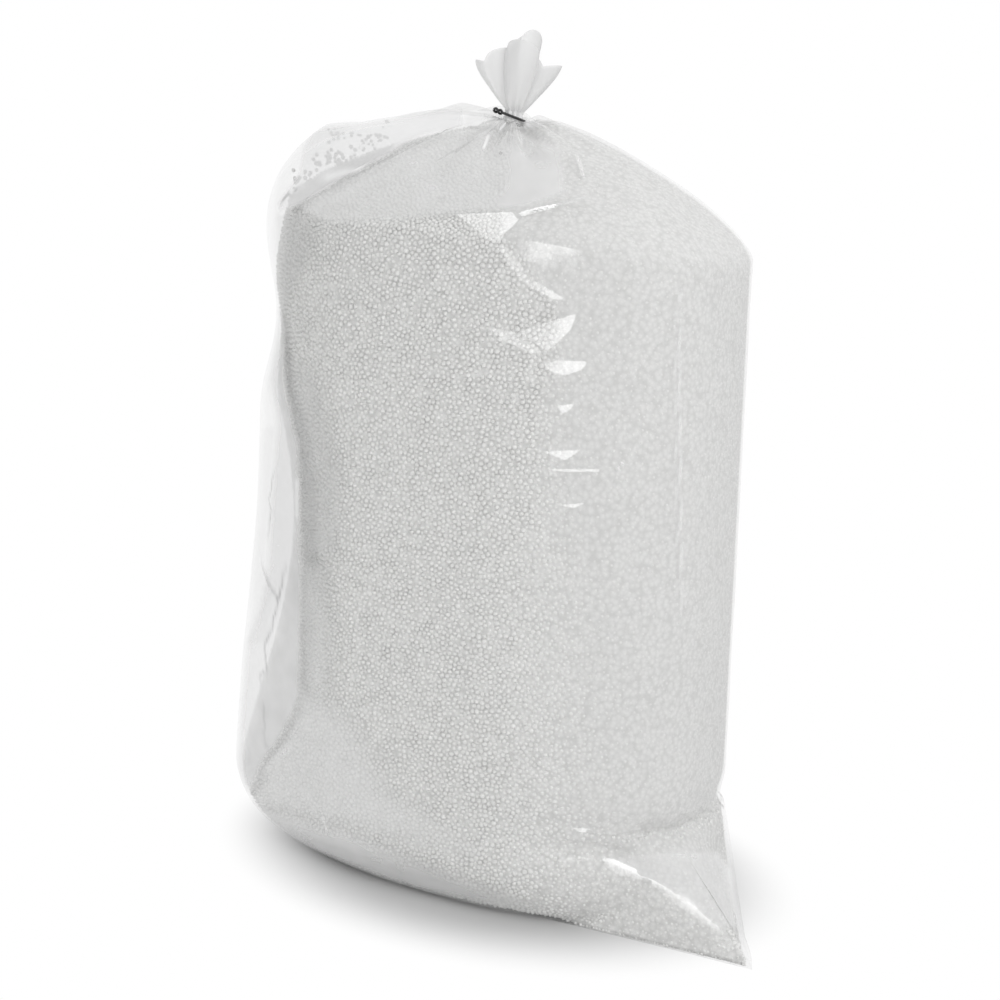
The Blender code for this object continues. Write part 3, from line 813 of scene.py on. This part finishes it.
def add_facets(looks, places, normals, seen, tree):
    """Facets lean towards the light that they mirror to the camera."""
    for pixels in GLOSSY_FACETS:
        spots = film_spots(tree, pixels)
        if len(spots) < len(pixels):
            continue
        inside, middle = inside_facet(places, spots)
        if inside.max() < 0.0:
            inside, middle = inside_facet(places, spots[::-1])
        to_camera = (CAMERA_PLACE - Vector(middle)).normalized()
        to_light = (GLOSS_LIGHT - Vector(middle)).normalized()
        bright = np.array((to_camera + to_light).normalized())
        mask = smooth_array(inside, -FACET_SOFTNESS, FACET_SOFTNESS) * seen
        lean = (bright - normals) * mask[..., None]
        looks["lean"] = np.where(mask[..., None] > 0.0, lean, looks["lean"])
        # The facets are whitened too, a painted highlight
        looks["white"] += FACET_HIGHLIGHT_COVER * mask


def add_patches(looks, places, seen):
    pixels = pixel_places(places)
    mottle = [[noise.noise(Vector(place) * MOTTLE_SCALE) for place in row] for row in places]
    mottle = PATCH_MOTTLE * np.array(mottle)
    patched = np.zeros(mottle.shape)
    for corners, softness, cover, painted_shade in FILM_PATCHES:
        mask = smooth_array(inside_outline(pixels, corners), -softness, softness) * seen
        patched = np.maximum(patched, cover * (1.0 + mottle) * mask)
        # Painted shade of the patch, painted light where it is negative
        looks["dark"] += painted_shade * (1.0 - mottle) * mask
    looks["white"] += patched


def fogged(levels, cloud, hidden):
    clear, cloudy, veiled = levels
    return clear + cloudy * cloud + veiled * hidden


def wall_looks(angle, height, broad, fine, cloud, crease):
    """Relief and whitening of the wall, where the veil and the heel are partly painted reflections."""
    relief = (WAVE_RISE * (broad + 1.0) + WALL_GRAIN * fine) * smooth_step(height, *WAVE_ONSET)
    fog = fogged(WALL_FOG, cloud, veil_and_glare(angle, height) * smooth_step(height, *VEIL_ONSET))
    heel = 1.0 - smooth_step(height, *HEEL_GLARE_END)
    heel *= smooth_step(-math.degrees(angle), *HEEL_GLARE_TURN)
    line = CREASE_FOG * crease * smooth_step(height, *CREASE_ONSET)
    return relief, max(fog, HEEL_HAZE_AND_GLARE * heel) + line


def top_looks(angle, share, broad, fine, cloud, crease):
    """Relief and whitening of the top, with its fine gathers."""
    gather = 0.0
    for number, sway, sways, start, height, onset, full in GATHERS:
        wave = math.cos(number * angle + sway * math.sin(sways * angle + start))
        gather += height * wave * smooth_step(share, onset, full)
    gather *= 1.0 - smooth_step(share, GATHER_END, 1.0)
    relief = WAVE_RISE * (broad + 1.0) + TOP_GRAIN * fine + GATHER_RISE * gather
    hidden = veil_and_glare(angle, SHOULDER_HEIGHT)
    low = fogged(WALL_FOG, cloud, hidden)
    high = fogged(TOP_FOG, cloud, hidden)
    fog = low + (high - low) * smooth_step(share, *TOP_FOG_ONSET)
    return relief, fog + CREASE_FOG * crease * (1.0 - share)


def tuft_looks(angle, share, broad, fine, cloud):
    """Relief, whitening and painted shade of the tuft, darkened least on its left lobe, a painted
    lighter side.
    """
    crumple = math.cos(TUFT_CRUMPLES * angle + TUFT_CRUMPLE_SWAY * broad) + fine
    relief = TUFT_CRUMPLE * crumple * smooth_step(share, 0.0, TUFT_CRUMPLE_FULL)
    bright = angle_bump(angle, TUFT_BRIGHT_ANGLE, TUFT_BRIGHT_HALF_ANGLE)
    return relief, TUFT_FOG[0] + TUFT_FOG[1] * cloud, TUFT_SHADE - TUFT_PAINTED_LIGHT * bright


def add_grain(looks, places, angles, stations):
    for row, (kind, value) in enumerate(stations):
        if kind == "base":
            looks["relief"][row] = 0.0
            continue
        if kind in ("neck", "tuft"):
            looks["milky"][row] = 1.0
        if kind == "neck":
            looks["white"][row] += NECK_FOG
            continue
        for column, angle in enumerate(angles):
            spot = Vector(places[row, column])
            broad = noise.noise(spot * WAVE_SCALE)
            fine = noise.noise(spot * GRAIN_SCALE + GRAIN_SHIFT)
            cloud = 0.5 + 0.5 * noise.noise(spot * CLOUD_SCALE)
            from_crease = abs(angle_between(angle, EAR_ANGLE + math.pi))
            crease = math.exp(-((from_crease / CREASE_WIDTH) ** 2))
            shade_painted = 0.0
            if kind == "wall":
                rise, whitened = wall_looks(angle, value, broad, fine, cloud, crease)
            elif kind == "top":
                rise, whitened = top_looks(angle, value, broad, fine, cloud, crease)
            else:
                rise, whitened, shade_painted = tuft_looks(angle, value, broad, fine, cloud)
            looks["relief"][row, column] += rise
            looks["white"][row, column] += whitened
            # Painted shade, on the tuft only
            looks["dark"][row, column] += shade_painted


def film_looks(places, normals, angles, stations, tree):
    """The relief, whitening, darkening as painted shade, milkiness and glossy lean of each point of the
    film.
    """
    looks = {name: np.zeros(places.shape[:2]) for name in ("relief", "white", "dark", "milky")}
    looks["lean"] = np.zeros(places.shape)
    seen = np.einsum("ijk,ijk->ij", normals, np.array(CAMERA_PLACE) - places) > 0.0
    add_creases(looks, places, seen, tree)
    add_facets(looks, places, normals, seen, tree)
    add_patches(looks, places, seen)
    add_grain(looks, places, angles, stations)
    return looks.pop("relief"), looks


def make_film(name, angles, material, outward):
    stations = film_stations()
    places, normals = sheet_arrays(angles, stations)
    tree = grid_tree(places)
    relief, layers = film_looks(places, normals, angles, stations, tree)
    sheet = bent_grid(places + normals * relief[..., None], layers, outward)
    piece = add_piece(name, mesh_from(name, sheet), material)
    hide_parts("film_bag")
    return tree


# Beads

BED_COLUMNS = 160
BED_WALL_ROWS = 90
BED_TOP_ROWS = 36
BED_ROW_EASE = 0.45
SLOPE_STEP = 0.0004
SEEN_EAR_GAP = 0.005
SEEN_EAR_AIR = 0.002
SEEN_TOP_GAP = 0.0016
SEEN_POCKET_SHARE = 0.55
SEEN_POCKET_ANGLE = math.radians(190.0)
SEEN_POCKET_HALF_ANGLE = math.radians(80.0)
BED_DEPTH = 1.25 * BEAD_RADIUS
VEILED_BED_DEPTH = 0.45 * BEAD_RADIUS
RELAX_ROUNDS = 9
SEAT_SHAKE = 0.9
SEAT_ROOM = (0.82, 1.16)
SEAT_PUSH = 0.35
SEAT_NEIGHBOURS = 7
SEAT_DEPTHS = (0.0016, 0.0004)
BEADS_MIDDLE_HEIGHT = 0.35
BEADS_LOW_SHARE = 0.45
BEADS_TOP_SHARE = 0.92


def bead_wall_point(angle, height):
    radius = film_radius(angle, height, SEEN_EAR_GAP)
    above = film_radius(angle, height + SLOPE_STEP, SEEN_EAR_GAP)
    slope = (above - radius) / SLOPE_STEP
    length = math.hypot(slope, 1.0)
    gap = FILM_THICKNESS + BEAD_GAP
    radius -= gap / length + bead_pockets(angle, height)
    rise = lifted(angle, height) + gap * max(0.0, slope) / length
    return wall_point(angle, max(gap, rise), radius)


def bead_top_point(angle, share):
    radius = film_radius(angle, SHOULDER_HEIGHT) - FILM_THICKNESS - BEAD_GAP
    radius -= bead_pockets(angle, SHOULDER_HEIGHT)
    run = share * BEAD_TOP_END
    onset = min(1.0, share / BEAD_TOP_ONSET)
    point = top_point(angle, run, radius, BEAD_TOP_PEAK, BEAD_TOP_SQUARENESS)
    point.z -= BEAD_TOP_GAP * onset
    full = top_point(angle, run, radius)
    pleats = TOP_PLEAT_HEIGHT * smooth_bump(run, TOP_PLEAT_MIDDLE, TOP_PLEAT_HALF_SPAN)
    full.z += pleats * pleat(angle)
    full.z -= SEEN_TOP_GAP * onset
    pocket = angle_bump(angle, SEEN_POCKET_ANGLE, SEEN_POCKET_HALF_ANGLE)
    return full.lerp(point, SEEN_POCKET_SHARE * pocket)


def bed_depth(angle, height):
    """How far the bed lies under the skin: less where the veiled beads hardly stand out."""
    veiled = veil_and_glare(EAR_ANGLE + angle_between(angle, EAR_ANGLE), height)
    return BED_DEPTH + (VEILED_BED_DEPTH - BED_DEPTH) * veiled


def bed_arrays():
    """The outer skin of the settled beads, as rings from the floor to the top's middle."""
    angles = even_angles(EAR_ANGLE, EAR_ANGLE + 2.0 * math.pi, BED_COLUMNS)[:-1]
    rings = []
    depths = []
    for i in range(BED_WALL_ROWS + 1):
        share = i / BED_WALL_ROWS
        height = SHOULDER_HEIGHT * ((1.0 - BED_ROW_EASE) * share + BED_ROW_EASE * share * share)
        rings.append([bead_wall_point(a, height) for a in angles])
        depths.append([bed_depth(a, height) for a in angles])
    for i in range(1, BED_TOP_ROWS + 1):
        rings.append([bead_top_point(a, i / BED_TOP_ROWS) for a in angles])
        depths.append([bed_depth(a, SHOULDER_HEIGHT) for a in angles])
    return np.array(rings), np.array(depths)


def closed_rings(rings):
    return np.concatenate([rings, rings[:, :1]], axis=1)


def ring_normals(rings):
    along = np.roll(rings, -1, axis=1) - np.roll(rings, 1, axis=1)
    up = np.gradient(rings, axis=0)
    normals = np.cross(along, up)
    return normals / np.maximum(np.linalg.norm(normals, axis=2, keepdims=True), 1e-12)


def ring_mesh(name, rings):
    """A closed skin through rings, with its two ends filled."""
    rows, columns = rings.shape[:2]
    skin = bmesh.new()
    bmesh.ops.create_grid(skin, x_segments=columns, y_segments=rows - 1, size=0.5)
    skin.verts.ensure_lookup_table()
    for vert, place in zip(skin.verts, closed_rings(rings).reshape(-1, 3)):
        vert.co = place
    bmesh.ops.remove_doubles(skin, verts=skin.verts, dist=MERGE_DISTANCE)
    bmesh.ops.holes_fill(skin, edges=[e for e in skin.edges if e.is_boundary], sides=0)
    bmesh.ops.recalc_face_normals(skin, faces=skin.faces)
    return mesh_from(name, skin)


def hexagonal_seats(rings, rng):
    """Rows of seats over the skin, each row turned by chance."""
    closed = closed_rings(rings)
    steps = np.linalg.norm(np.diff(closed, axis=0), axis=2).mean(axis=1)
    run = np.concatenate([[0.0], np.cumsum(steps)])
    row_step = BEAD_PITCH * math.sqrt(3.0) / 2.0
    seats = []
    for i in range(int(run[-1] / row_step)):
        spot = np.interp(i * row_step, run, np.arange(len(run)))
        low = int(spot)
        high = min(low + 1, len(run) - 1)
        ring = closed[low] + (closed[high] - closed[low]) * (spot - low)
        lengths = np.linalg.norm(np.diff(ring, axis=0), axis=1)
        girth = np.concatenate([[0.0], np.cumsum(lengths)])
        number = max(3, int(round(girth[-1] / BEAD_PITCH)))
        start = rng.random()
        for j in range(number):
            at = ((j + start) / number * girth[-1]) % girth[-1]
            seats.append([np.interp(at, girth, ring[:, k]) for k in range(3)])
    return np.array(seats)


def bead_seats(rings, rng):
    """Seats of the beads, shaken and then pushed evenly apart, with how they face and their size."""
    seats = hexagonal_seats(rings, rng)
    shake = np.array([[rng.uniform(-1.0, 1.0) for k in range(3)] for seat in seats])
    seats = seats + shake * BEAD_PITCH * SEAT_SHAKE
    tree = grid_tree(closed_rings(rings))
    room_of = [rng.uniform(*SEAT_ROOM) for seat in seats]
    for turn in range(RELAX_ROUNDS):
        near = KDTree(len(seats))
        for i, seat in enumerate(seats):
            near.insert(seat, i)
        near.balance()
        moved = []
        for i, seat in enumerate(seats):
            push = Vector((0.0, 0.0, 0.0))
            here = Vector(seat)
            for place, j, gap in near.find_n(here, SEAT_NEIGHBOURS):
                room = BEAD_PITCH * (room_of[i] + room_of[j]) / 2.0
                if j != i and gap < room:
                    push += (here - place) * ((room - gap) / max(gap, 1e-6))
            moved.append(tree.find_nearest(here + push * SEAT_PUSH)[0])
        seats = np.array([list(m) for m in moved])
    turned = np.array([list(tree.find_nearest(Vector(seat))[1]) for seat in seats])
    return seats, turned, np.array(room_of)


def bead_template():
    """One bead in a few faces: a hexagonal girdle between its outer and inner pole."""
    shape = bmesh.new()
    bmesh.ops.create_uvsphere(shape, u_segments=6, v_segments=2, radius=1.0)
    shape.verts.ensure_lookup_table()
    points = np.array([list(v.co) for v in shape.verts])
    faces = np.array([[v.index for v in f.verts] for f in shape.faces])
    shape.free()
    return points, faces


def bead_mesh(name, seats, normals, sizes, rng):
    """Many beads in one mesh, each with a size, turn and tone of its own."""
    points, faces = bead_template()
    count = len(seats)
    random_turn = np.array([rng.uniform(0.0, 2.0 * math.pi) for i in range(count)])
    size = sizes * BEAD_RADIUS
    helper = np.where(np.abs(normals[:, 2:3]) > 0.9, [[1.0, 0.0, 0.0]], [[0.0, 0.0, 1.0]])
    first = np.cross(helper, normals)
    first /= np.linalg.norm(first, axis=1, keepdims=True)
    second = np.cross(normals, first)
    c = np.cos(random_turn)[:, None]
    s = np.sin(random_turn)[:, None]
    across = first * c + second * s
    along = second * c - first * s
    axes = np.stack([across, along, normals], axis=1) * size[:, None, None]
    places = np.einsum("vk,nkj->nvj", points, axes) + seats[:, None, :]
    index = faces[None, :, :] + (np.arange(count) * len(points))[:, None, None]
    mesh = bpy.data.meshes.new(name)
    mesh.from_pydata(places.reshape(-1, 3).tolist(), [], index.reshape(-1, 3).tolist())
    tone = np.array([rng.random() for i in range(count)])
    layer = mesh.attributes.new("tone", "FLOAT", "POINT")
    layer.data.foreach_set("value", np.repeat(tone, len(points)).astype(np.float32))
    mesh.shade_smooth()
    return mesh


# Materials

# Each finish goes from its first tone to its second
# The film's second tone is reached only through its painted shade
FILM_TONES = ((0.93, 0.93, 0.93, 1.0), (0.20, 0.20, 0.20, 1.0))
BEAD_TONES = ((0.84, 0.84, 0.83, 1.0), (0.92, 0.92, 0.91, 1.0))
SPECK_TONES = ((0.03, 0.03, 0.03, 1.0), (0.14, 0.13, 0.12, 1.0))
TIE_TONES = ((0.010, 0.010, 0.011, 1.0), (0.035, 0.035, 0.036, 1.0))
# Tones of the deeper beads, darker towards the cell edges as painted shade in the gaps between beads
DEEPER_TONES_WITH_GAP_SHADE = ((0.1, (0.84, 0.84, 0.83, 1.0)), (0.8, (0.65, 0.65, 0.64, 1.0)))
FLOOR_TONE = (0.69, 0.69, 0.69, 1.0)
# Sockets of the film where it is clear and where it is milky
FILM_FINISH = (("Metallic", 0.55, 0.0), ("Roughness", 0.15, 0.55))
FILM_COVER = 0.06
FILM_EDGE_COVER = 0.24
FILM_EDGE_BLEND = 0.20
# The floor turns white to the camera away from the bag, past a stretched circle
SHADOW_MIDDLE = (0.022, 0.0, 0.0)
SHADOW_STRETCH = (1.3, 1.0, 1.0)
SHADOW_FADE = (0.150, 0.252)
WORLD_LEVEL = 0.44


def put(tree, kind, inputs, **settings):
    """A node with its settings, and its inputs as plain values or as sockets to link."""
    made = tree.nodes.new("ShaderNode" + kind)
    for name, value in settings.items():
        setattr(made, name, value)
    for key, value in inputs.items():
        if isinstance(value, bpy.types.NodeSocket):
            tree.links.new(value, made.inputs[key])
        else:
            made.inputs[key].default_value = value
    return made


def attribute(tree, name, output="Fac"):
    return put(tree, "Attribute", {}, attribute_name=name).outputs[output]


def texture(tree, kind, output, **inputs):
    """A texture on the piece's own coordinates."""
    place = put(tree, "TexCoord", {}).outputs["Object"]
    return put(tree, "Tex" + kind, {"Vector": place, **inputs}).outputs[output]


def new_material(name, roughness=None, specular=None):
    material = bpy.data.materials.new(name)
    material.use_nodes = True
    shader = material.node_tree.nodes["Principled BSDF"]
    if roughness is not None:
        shader.inputs["Roughness"].default_value = roughness
    if specular is not None:
        shader.inputs["Specular IOR Level"].default_value = specular
    return material, material.node_tree, shader


def tinted(tree, shader, mask, tones):
    """The base colour goes from one tone to the other by a mask."""
    mix = put(tree, "Mix", {"Factor": mask, "A": tones[0], "B": tones[1]}, data_type="RGBA")
    tree.links.new(mix.outputs["Result"], shader.inputs["Base Color"])


def bumped(tree, shader, height, strength, distance, normal=None):
    inputs = {"Strength": strength, "Distance": distance, "Height": height}
    if normal is not None:
        inputs["Normal"] = normal
    bump = put(tree, "Bump", inputs)
    tree.links.new(bump.outputs["Normal"], shader.inputs["Normal"])


def shown_mix(tree, mask, first, second):
    """The material shows one shader or the other by a mask."""
    mix = put(tree, "MixShader", {"Fac": mask, 1: first, 2: second})
    tree.links.new(mix.outputs["Shader"], tree.nodes["Material Output"].inputs["Surface"])


def background_rays(tree):
    """One for the rays that show the background: from the camera, off gloss and through glass."""
    path = put(tree, "LightPath", {})
    shown = path.outputs["Is Camera Ray"]
    for kind in ("Is Glossy Ray", "Is Transmission Ray"):
        either = put(tree, "Math", {0: shown, 1: path.outputs[kind]}, operation="MAXIMUM")
        shown = either.outputs["Value"]
    return shown


def film_material():
    """Clear film that whitens, partly with painted glare and highlights, darkens with painted shade,
    turns milky and leans to the light by its attributes.
    """
    material, tree, shader = new_material("clear_film")
    milky = attribute(tree, "milky")
    for socket, clear_level, milky_level in FILM_FINISH:
        level = put(tree, "MapRange", {"Value": milky, "To Min": clear_level, "To Max": milky_level})
        tree.links.new(level.outputs["Result"], shader.inputs[socket])
    # Painted shade of the film: its base colour darkens by the dark attribute
    tinted(tree, shader, attribute(tree, "dark"), FILM_TONES)
    facing = put(tree, "LayerWeight", {"Blend": FILM_EDGE_BLEND}).outputs["Facing"]
    edge = put(tree, "Math", {0: facing, 1: FILM_EDGE_COVER, 2: FILM_COVER}, operation="MULTIPLY_ADD")
    whole = {0: attribute(tree, "white"), 1: edge.outputs["Value"]}
    cover = put(tree, "Math", whole, operation="ADD", use_clamp=True)
    normal = put(tree, "NewGeometry", {}).outputs["Normal"]
    lean = attribute(tree, "lean", "Vector")
    leant = put(tree, "VectorMath", {0: normal, 1: lean}, operation="ADD").outputs["Vector"]
    unit = put(tree, "VectorMath", {0: leant}, operation="NORMALIZE").outputs["Vector"]
    ripple = texture(tree, "Noise", "Fac", Scale=70.0, Detail=3.0)
    bumped(tree, shader, ripple, 0.18, 0.0010, unit)
    clear = put(tree, "BsdfTransparent", {}).outputs["BSDF"]
    shown_mix(tree, cover.outputs["Value"], clear, shader.outputs["BSDF"])
    return material


def bead_material():
    material, tree, shader = new_material("polystyrene_beads", 0.6, 0.25)
    tinted(tree, shader, attribute(tree, "tone"), BEAD_TONES)
    bumped(tree, shader, texture(tree, "Voronoi", "Distance", Scale=1400.0), 0.15, 0.0002)
    return material


def bed_material():
    """Beads further in, with darker gaps between cells painted as shade."""
    material, tree, shader = new_material("deeper_beads", 0.8, 0.1)
    ramp = put(tree, "ValToRGB", {"Fac": texture(tree, "Voronoi", "Distance", Scale=190.0)})
    for stop, (position, tone) in zip(ramp.color_ramp.elements, DEEPER_TONES_WITH_GAP_SHADE):
        stop.position = position
        stop.color = tone
    tree.links.new(ramp.outputs["Color"], shader.inputs["Base Color"])
    return material


def speck_material():
    material, tree, shader = new_material("dark_speck", 0.6)
    tinted(tree, shader, texture(tree, "Noise", "Fac", Scale=1200.0), SPECK_TONES)
    return material


def tie_material():
    material, tree, shader = new_material("tie_coating", 0.42)
    tinted(tree, shader, texture(tree, "Noise", "Fac", Scale=900.0), TIE_TONES)
    return material


def floor_material():
    """White to the camera away from the bag, and shaded by it nearby."""
    material, tree, shader = new_material("studio_floor", 0.9, 0.0)
    shader.inputs["Base Color"].default_value = FLOOR_TONE
    place = put(tree, "TexCoord", {}).outputs["Object"]
    oval = {"Vector": place, "Location": SHADOW_MIDDLE, "Scale": SHADOW_STRETCH}
    oval = put(tree, "Mapping", oval, vector_type="TEXTURE").outputs["Vector"]
    away = put(tree, "VectorMath", {0: oval}, operation="LENGTH").outputs["Value"]
    fade = {"Value": away, "From Min": SHADOW_FADE[0], "From Max": SHADOW_FADE[1]}
    far = put(tree, "MapRange", fade, interpolation_type="SMOOTHSTEP").outputs["Result"]
    seen = put(tree, "Math", {0: far, 1: background_rays(tree)}, operation="MULTIPLY")
    white = put(tree, "Emission", {"Strength": 1.0}).outputs["Emission"]
    shown_mix(tree, seen.outputs["Value"], shader.outputs["BSDF"], white)
    return material


# Pieces

def make_bed_and_beads():
    rng = random.Random(7)
    rings, depths = bed_arrays()
    normals = ring_normals(rings)
    bed_mesh = ring_mesh("bead_bed", rings - normals * depths[..., None])
    bed = add_piece("bead_bed", bed_mesh, bed_material())
    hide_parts("bead_fill")
    seats, turned, sizes = bead_seats(rings - normals * BEAD_RADIUS, rng)
    outward = np.einsum("ij,ij->i", turned, seats - np.array([BODY_CENTRE_X, 0.0, BEADS_MIDDLE_HEIGHT]))
    turned = np.where(outward[:, None] < 0.0, -turned, turned)
    most, least = SEAT_DEPTHS
    depth = np.array([rng.random() ** 3 * most + rng.uniform(0.0, least) for seat in seats])
    seats = seats - turned * depth[:, None]
    finish = bead_material()
    angle = np.arctan2(seats[:, 1], seats[:, 0] - BODY_CENTRE_X)
    front = np.sin(angle - EAR_ANGLE) < 0.0
    low = seats[:, 2] < SHOULDER_HEIGHT * BEADS_TOP_SHARE
    lower = seats[:, 2] < SHOULDER_HEIGHT * BEADS_LOW_SHARE
    shares = (
        ("beads_front_low", front & lower),
        ("beads_front", front & low & ~lower),
        ("beads_back_low", ~front & lower),
        ("beads_back", ~front & low & ~lower),
        ("beads_top", ~low),
    )
    for name, chosen in shares:
        mesh = bead_mesh(name, seats[chosen], turned[chosen], sizes[chosen], rng)
        add_piece(name, mesh, finish)


# Rows of clinging beads by pixels of the photograph: line, spread in pixels and number
STRAY_ROWS = (
    (((328, 131), (352, 134), (380, 136)), 3.5, 30),
    (((300, 186), (303, 174), (318, 163), (330, 157), (346, 158), (362, 147), (382, 138)), 5.0, 70),
    (((284, 206), (292, 197), (300, 189)), 3.0, 14),
    (((376, 125), (390, 119), (400, 116)), 2.0, 7),
    (((306, 190), (330, 180), (352, 170)), 6.0, 18),
)
STRAY_SIZES = (0.45, 0.85)
STRAY_STANDOFF = 0.0012
SPECK_PIXEL = (499.5, 151.0)
SPECK_RADIUS = 0.0017
SPECK_STANDOFF = 0.0024


def film_under_pixel(film_tree, x, y):
    """Where a ray through a pixel meets the film, and the film's normal towards the camera."""
    ray = pixel_ray(x, y)
    hit, normal = film_tree.ray_cast(CAMERA_PLACE, ray)[:2]
    if hit is not None and normal.dot(ray) > 0.0:
        normal = -normal
    return hit, normal


def add_ball(shape, place, radius):
    matrix = Matrix.Translation(place)
    bmesh.ops.create_icosphere(shape, subdivisions=2, radius=radius, matrix=matrix)


def make_strays(film_tree):
    """Single beads that cling to the inside of the film over the top left pocket."""
    rng = random.Random(11)
    shape = bmesh.new()
    for spots, spread, count in STRAY_ROWS:
        for i in range(count):
            at = rng.uniform(0.0, len(spots) - 1.001)
            (x0, y0), (x1, y1) = spots[int(at)], spots[int(at) + 1]
            x = x0 + (x1 - x0) * (at % 1.0) + rng.gauss(0.0, spread)
            y = y0 + (y1 - y0) * (at % 1.0) + rng.gauss(0.0, spread)
            hit, normal = film_under_pixel(film_tree, x, y)
            if hit is None:
                continue
            size = BEAD_RADIUS * rng.uniform(*STRAY_SIZES)
            add_ball(shape, hit - normal * (size + STRAY_STANDOFF), size)
    mesh = mesh_from("stray_beads", shape)
    add_piece("stray_beads", mesh, bead_material())


def make_speck(film_tree):
    """The dark speck under the film below the neck."""
    hit, normal = film_under_pixel(film_tree, *SPECK_PIXEL)
    shape = bmesh.new()
    add_ball(shape, hit - normal * SPECK_STANDOFF, SPECK_RADIUS)
    add_piece("dark_speck", mesh_from("dark_speck", shape), speck_material())


TIE_TURN_STEPS = 60
TIE_TAIL_STEPS = 18


def tie_point(angle, radius):
    rise = -radius * math.cos(angle - NECK_LEAN_TOWARDS) * math.tan(TIE_TILT)
    return neck_point(angle, rise, radius)


def make_tie():
    """One turn of coated wire round the neck, both ends twisted together."""
    radius = NECK_RADIUS + TIE_WIRE / 2.0 + TIE_CLEARANCE
    pitch = TIE_WIRE / 2.0 + TIE_CLEARANCE
    spread = math.asin(pitch / radius)
    turn = []
    for i in range(TIE_TURN_STEPS + 1):
        angle = TIE_TAIL_TOWARDS + spread + (2.0 * math.pi - 2.0 * spread) * i / TIE_TURN_STEPS
        turn.append(tie_point(angle, radius))
    foot = tie_point(TIE_TAIL_TOWARDS, radius)
    out = (foot - tie_point(TIE_TAIL_TOWARDS, 0.0)).normalized()
    across = NECK_AXIS.cross(out).normalized()
    tails = []
    for sign in (1.0, -1.0):
        tail = []
        for i in range(1, TIE_TAIL_STEPS + 1):
            share = i / TIE_TAIL_STEPS
            twist = 2.0 * math.pi * TIE_TAIL_TURNS * share
            reach = sign * pitch
            beside = across * (reach * math.cos(twist)) + NECK_AXIS * (reach * math.sin(twist))
            tail.append(foot + out * (TIE_TAIL * share) + beside)
        tails.append(tail)
    points = list(reversed(tails[0])) + turn + tails[1]
    curve = bpy.data.curves.new("neck_tie_wire", "CURVE")
    curve.dimensions = "3D"
    curve.bevel_depth = TIE_WIRE / 2.0
    curve.bevel_resolution = 4
    curve.use_fill_caps = True
    spline = curve.splines.new("POLY")
    spline.points.add(len(points) - 1)
    for spot, point in zip(spline.points, points):
        spot.co = (*point, 1.0)
    helper = bpy.data.objects.new("neck_tie_wire", curve)
    mesh = bpy.data.meshes.new_from_object(helper)
    bpy.data.objects.remove(helper)
    mesh.shade_smooth()
    piece = add_piece("tie_wire", mesh, tie_material())
    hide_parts("neck_tie")


# Studio

FLOOR_HALF_WIDTH = 6.0
FLOOR_DROP = 0.0006
# Name, place, target, width, height, power, and whether gloss mirrors it
SOFTBOXES = (
    ("top_softbox", (0.2, 0.5, 2.6), (0.0, 0.0, 0.3), 1.4, 1.2, 14.0, False),
    ("right_softbox", (1.95, -1.00, 1.2), (0.0, 0.0, 0.4), 1.4, 1.4, 22.0, False),
    ("left_softbox", (-1.8, -1.0, 1.1), (0.0, 0.0, 0.4), 1.2, 1.4, 2.0, False),
    ("low_softbox", (-0.75, -1.1, 0.17), (-0.12, -0.15, 0.10), 1.0, 0.30, 2.9, False),
    ("gloss_softbox", GLOSS_LIGHT, (0.1, -0.15, 0.5), 0.85, 0.62, 2.6, True),
)


def make_floor():
    sheet = bmesh.new()
    bmesh.ops.create_grid(sheet, x_segments=1, y_segments=1, size=FLOOR_HALF_WIDTH)
    mesh = bpy.data.meshes.new("studio_floor")
    sheet.to_mesh(mesh)
    sheet.free()
    floor = bpy.data.objects.new("studio_floor", mesh)
    floor.location.z = -FLOOR_DROP
    mesh.materials.append(floor_material())
    bpy.context.scene.collection.objects.link(floor)


def make_softbox(name, place, target, width, height, power, mirrored):
    data = bpy.data.lights.new(name, "AREA")
    data.shape = "RECTANGLE"
    data.size = width
    data.size_y = height
    data.energy = power
    light = bpy.data.objects.new(name, data)
    bpy.context.scene.collection.objects.link(light)
    light.visible_glossy = mirrored
    light.visible_camera = False
    light.location = place
    light.rotation_euler = (Vector(target) - Vector(place)).to_track_quat("-Z", "Y").to_euler()


def make_world():
    """Soft light on the bag, and plain white for the rays that see the background."""
    world = bpy.data.worlds.new("studio_world")
    bpy.context.scene.world = world
    world.use_nodes = True
    tree = world.node_tree
    back = tree.nodes["Background"]
    back.inputs["Color"].default_value = (1.0, 1.0, 1.0, 1.0)
    inputs = {"Value": background_rays(tree), "To Min": WORLD_LEVEL, "To Max": 1.0}
    level = put(tree, "MapRange", inputs)
    tree.links.new(level.outputs["Result"], back.inputs["Strength"])


def main():
    clear = film_material()
    front = even_angles(EAR_ANGLE, EAR_ANGLE - math.pi, FRONT_COLUMNS, GLOSS_SPAN, GLOSS_FINENESS)
    back = even_angles(EAR_ANGLE, EAR_ANGLE + math.pi, BACK_COLUMNS)
    front_tree = make_film("film_front", front, clear, False)
    make_film("film_back", back, clear, True)
    make_bed_and_beads()
    make_strays(front_tree)
    make_speck(front_tree)
    make_tie()
    make_floor()
    for softbox in SOFTBOXES:
        make_softbox(*softbox)
    make_world()
    bpy.context.scene.view_settings.view_transform = "Standard"


main()
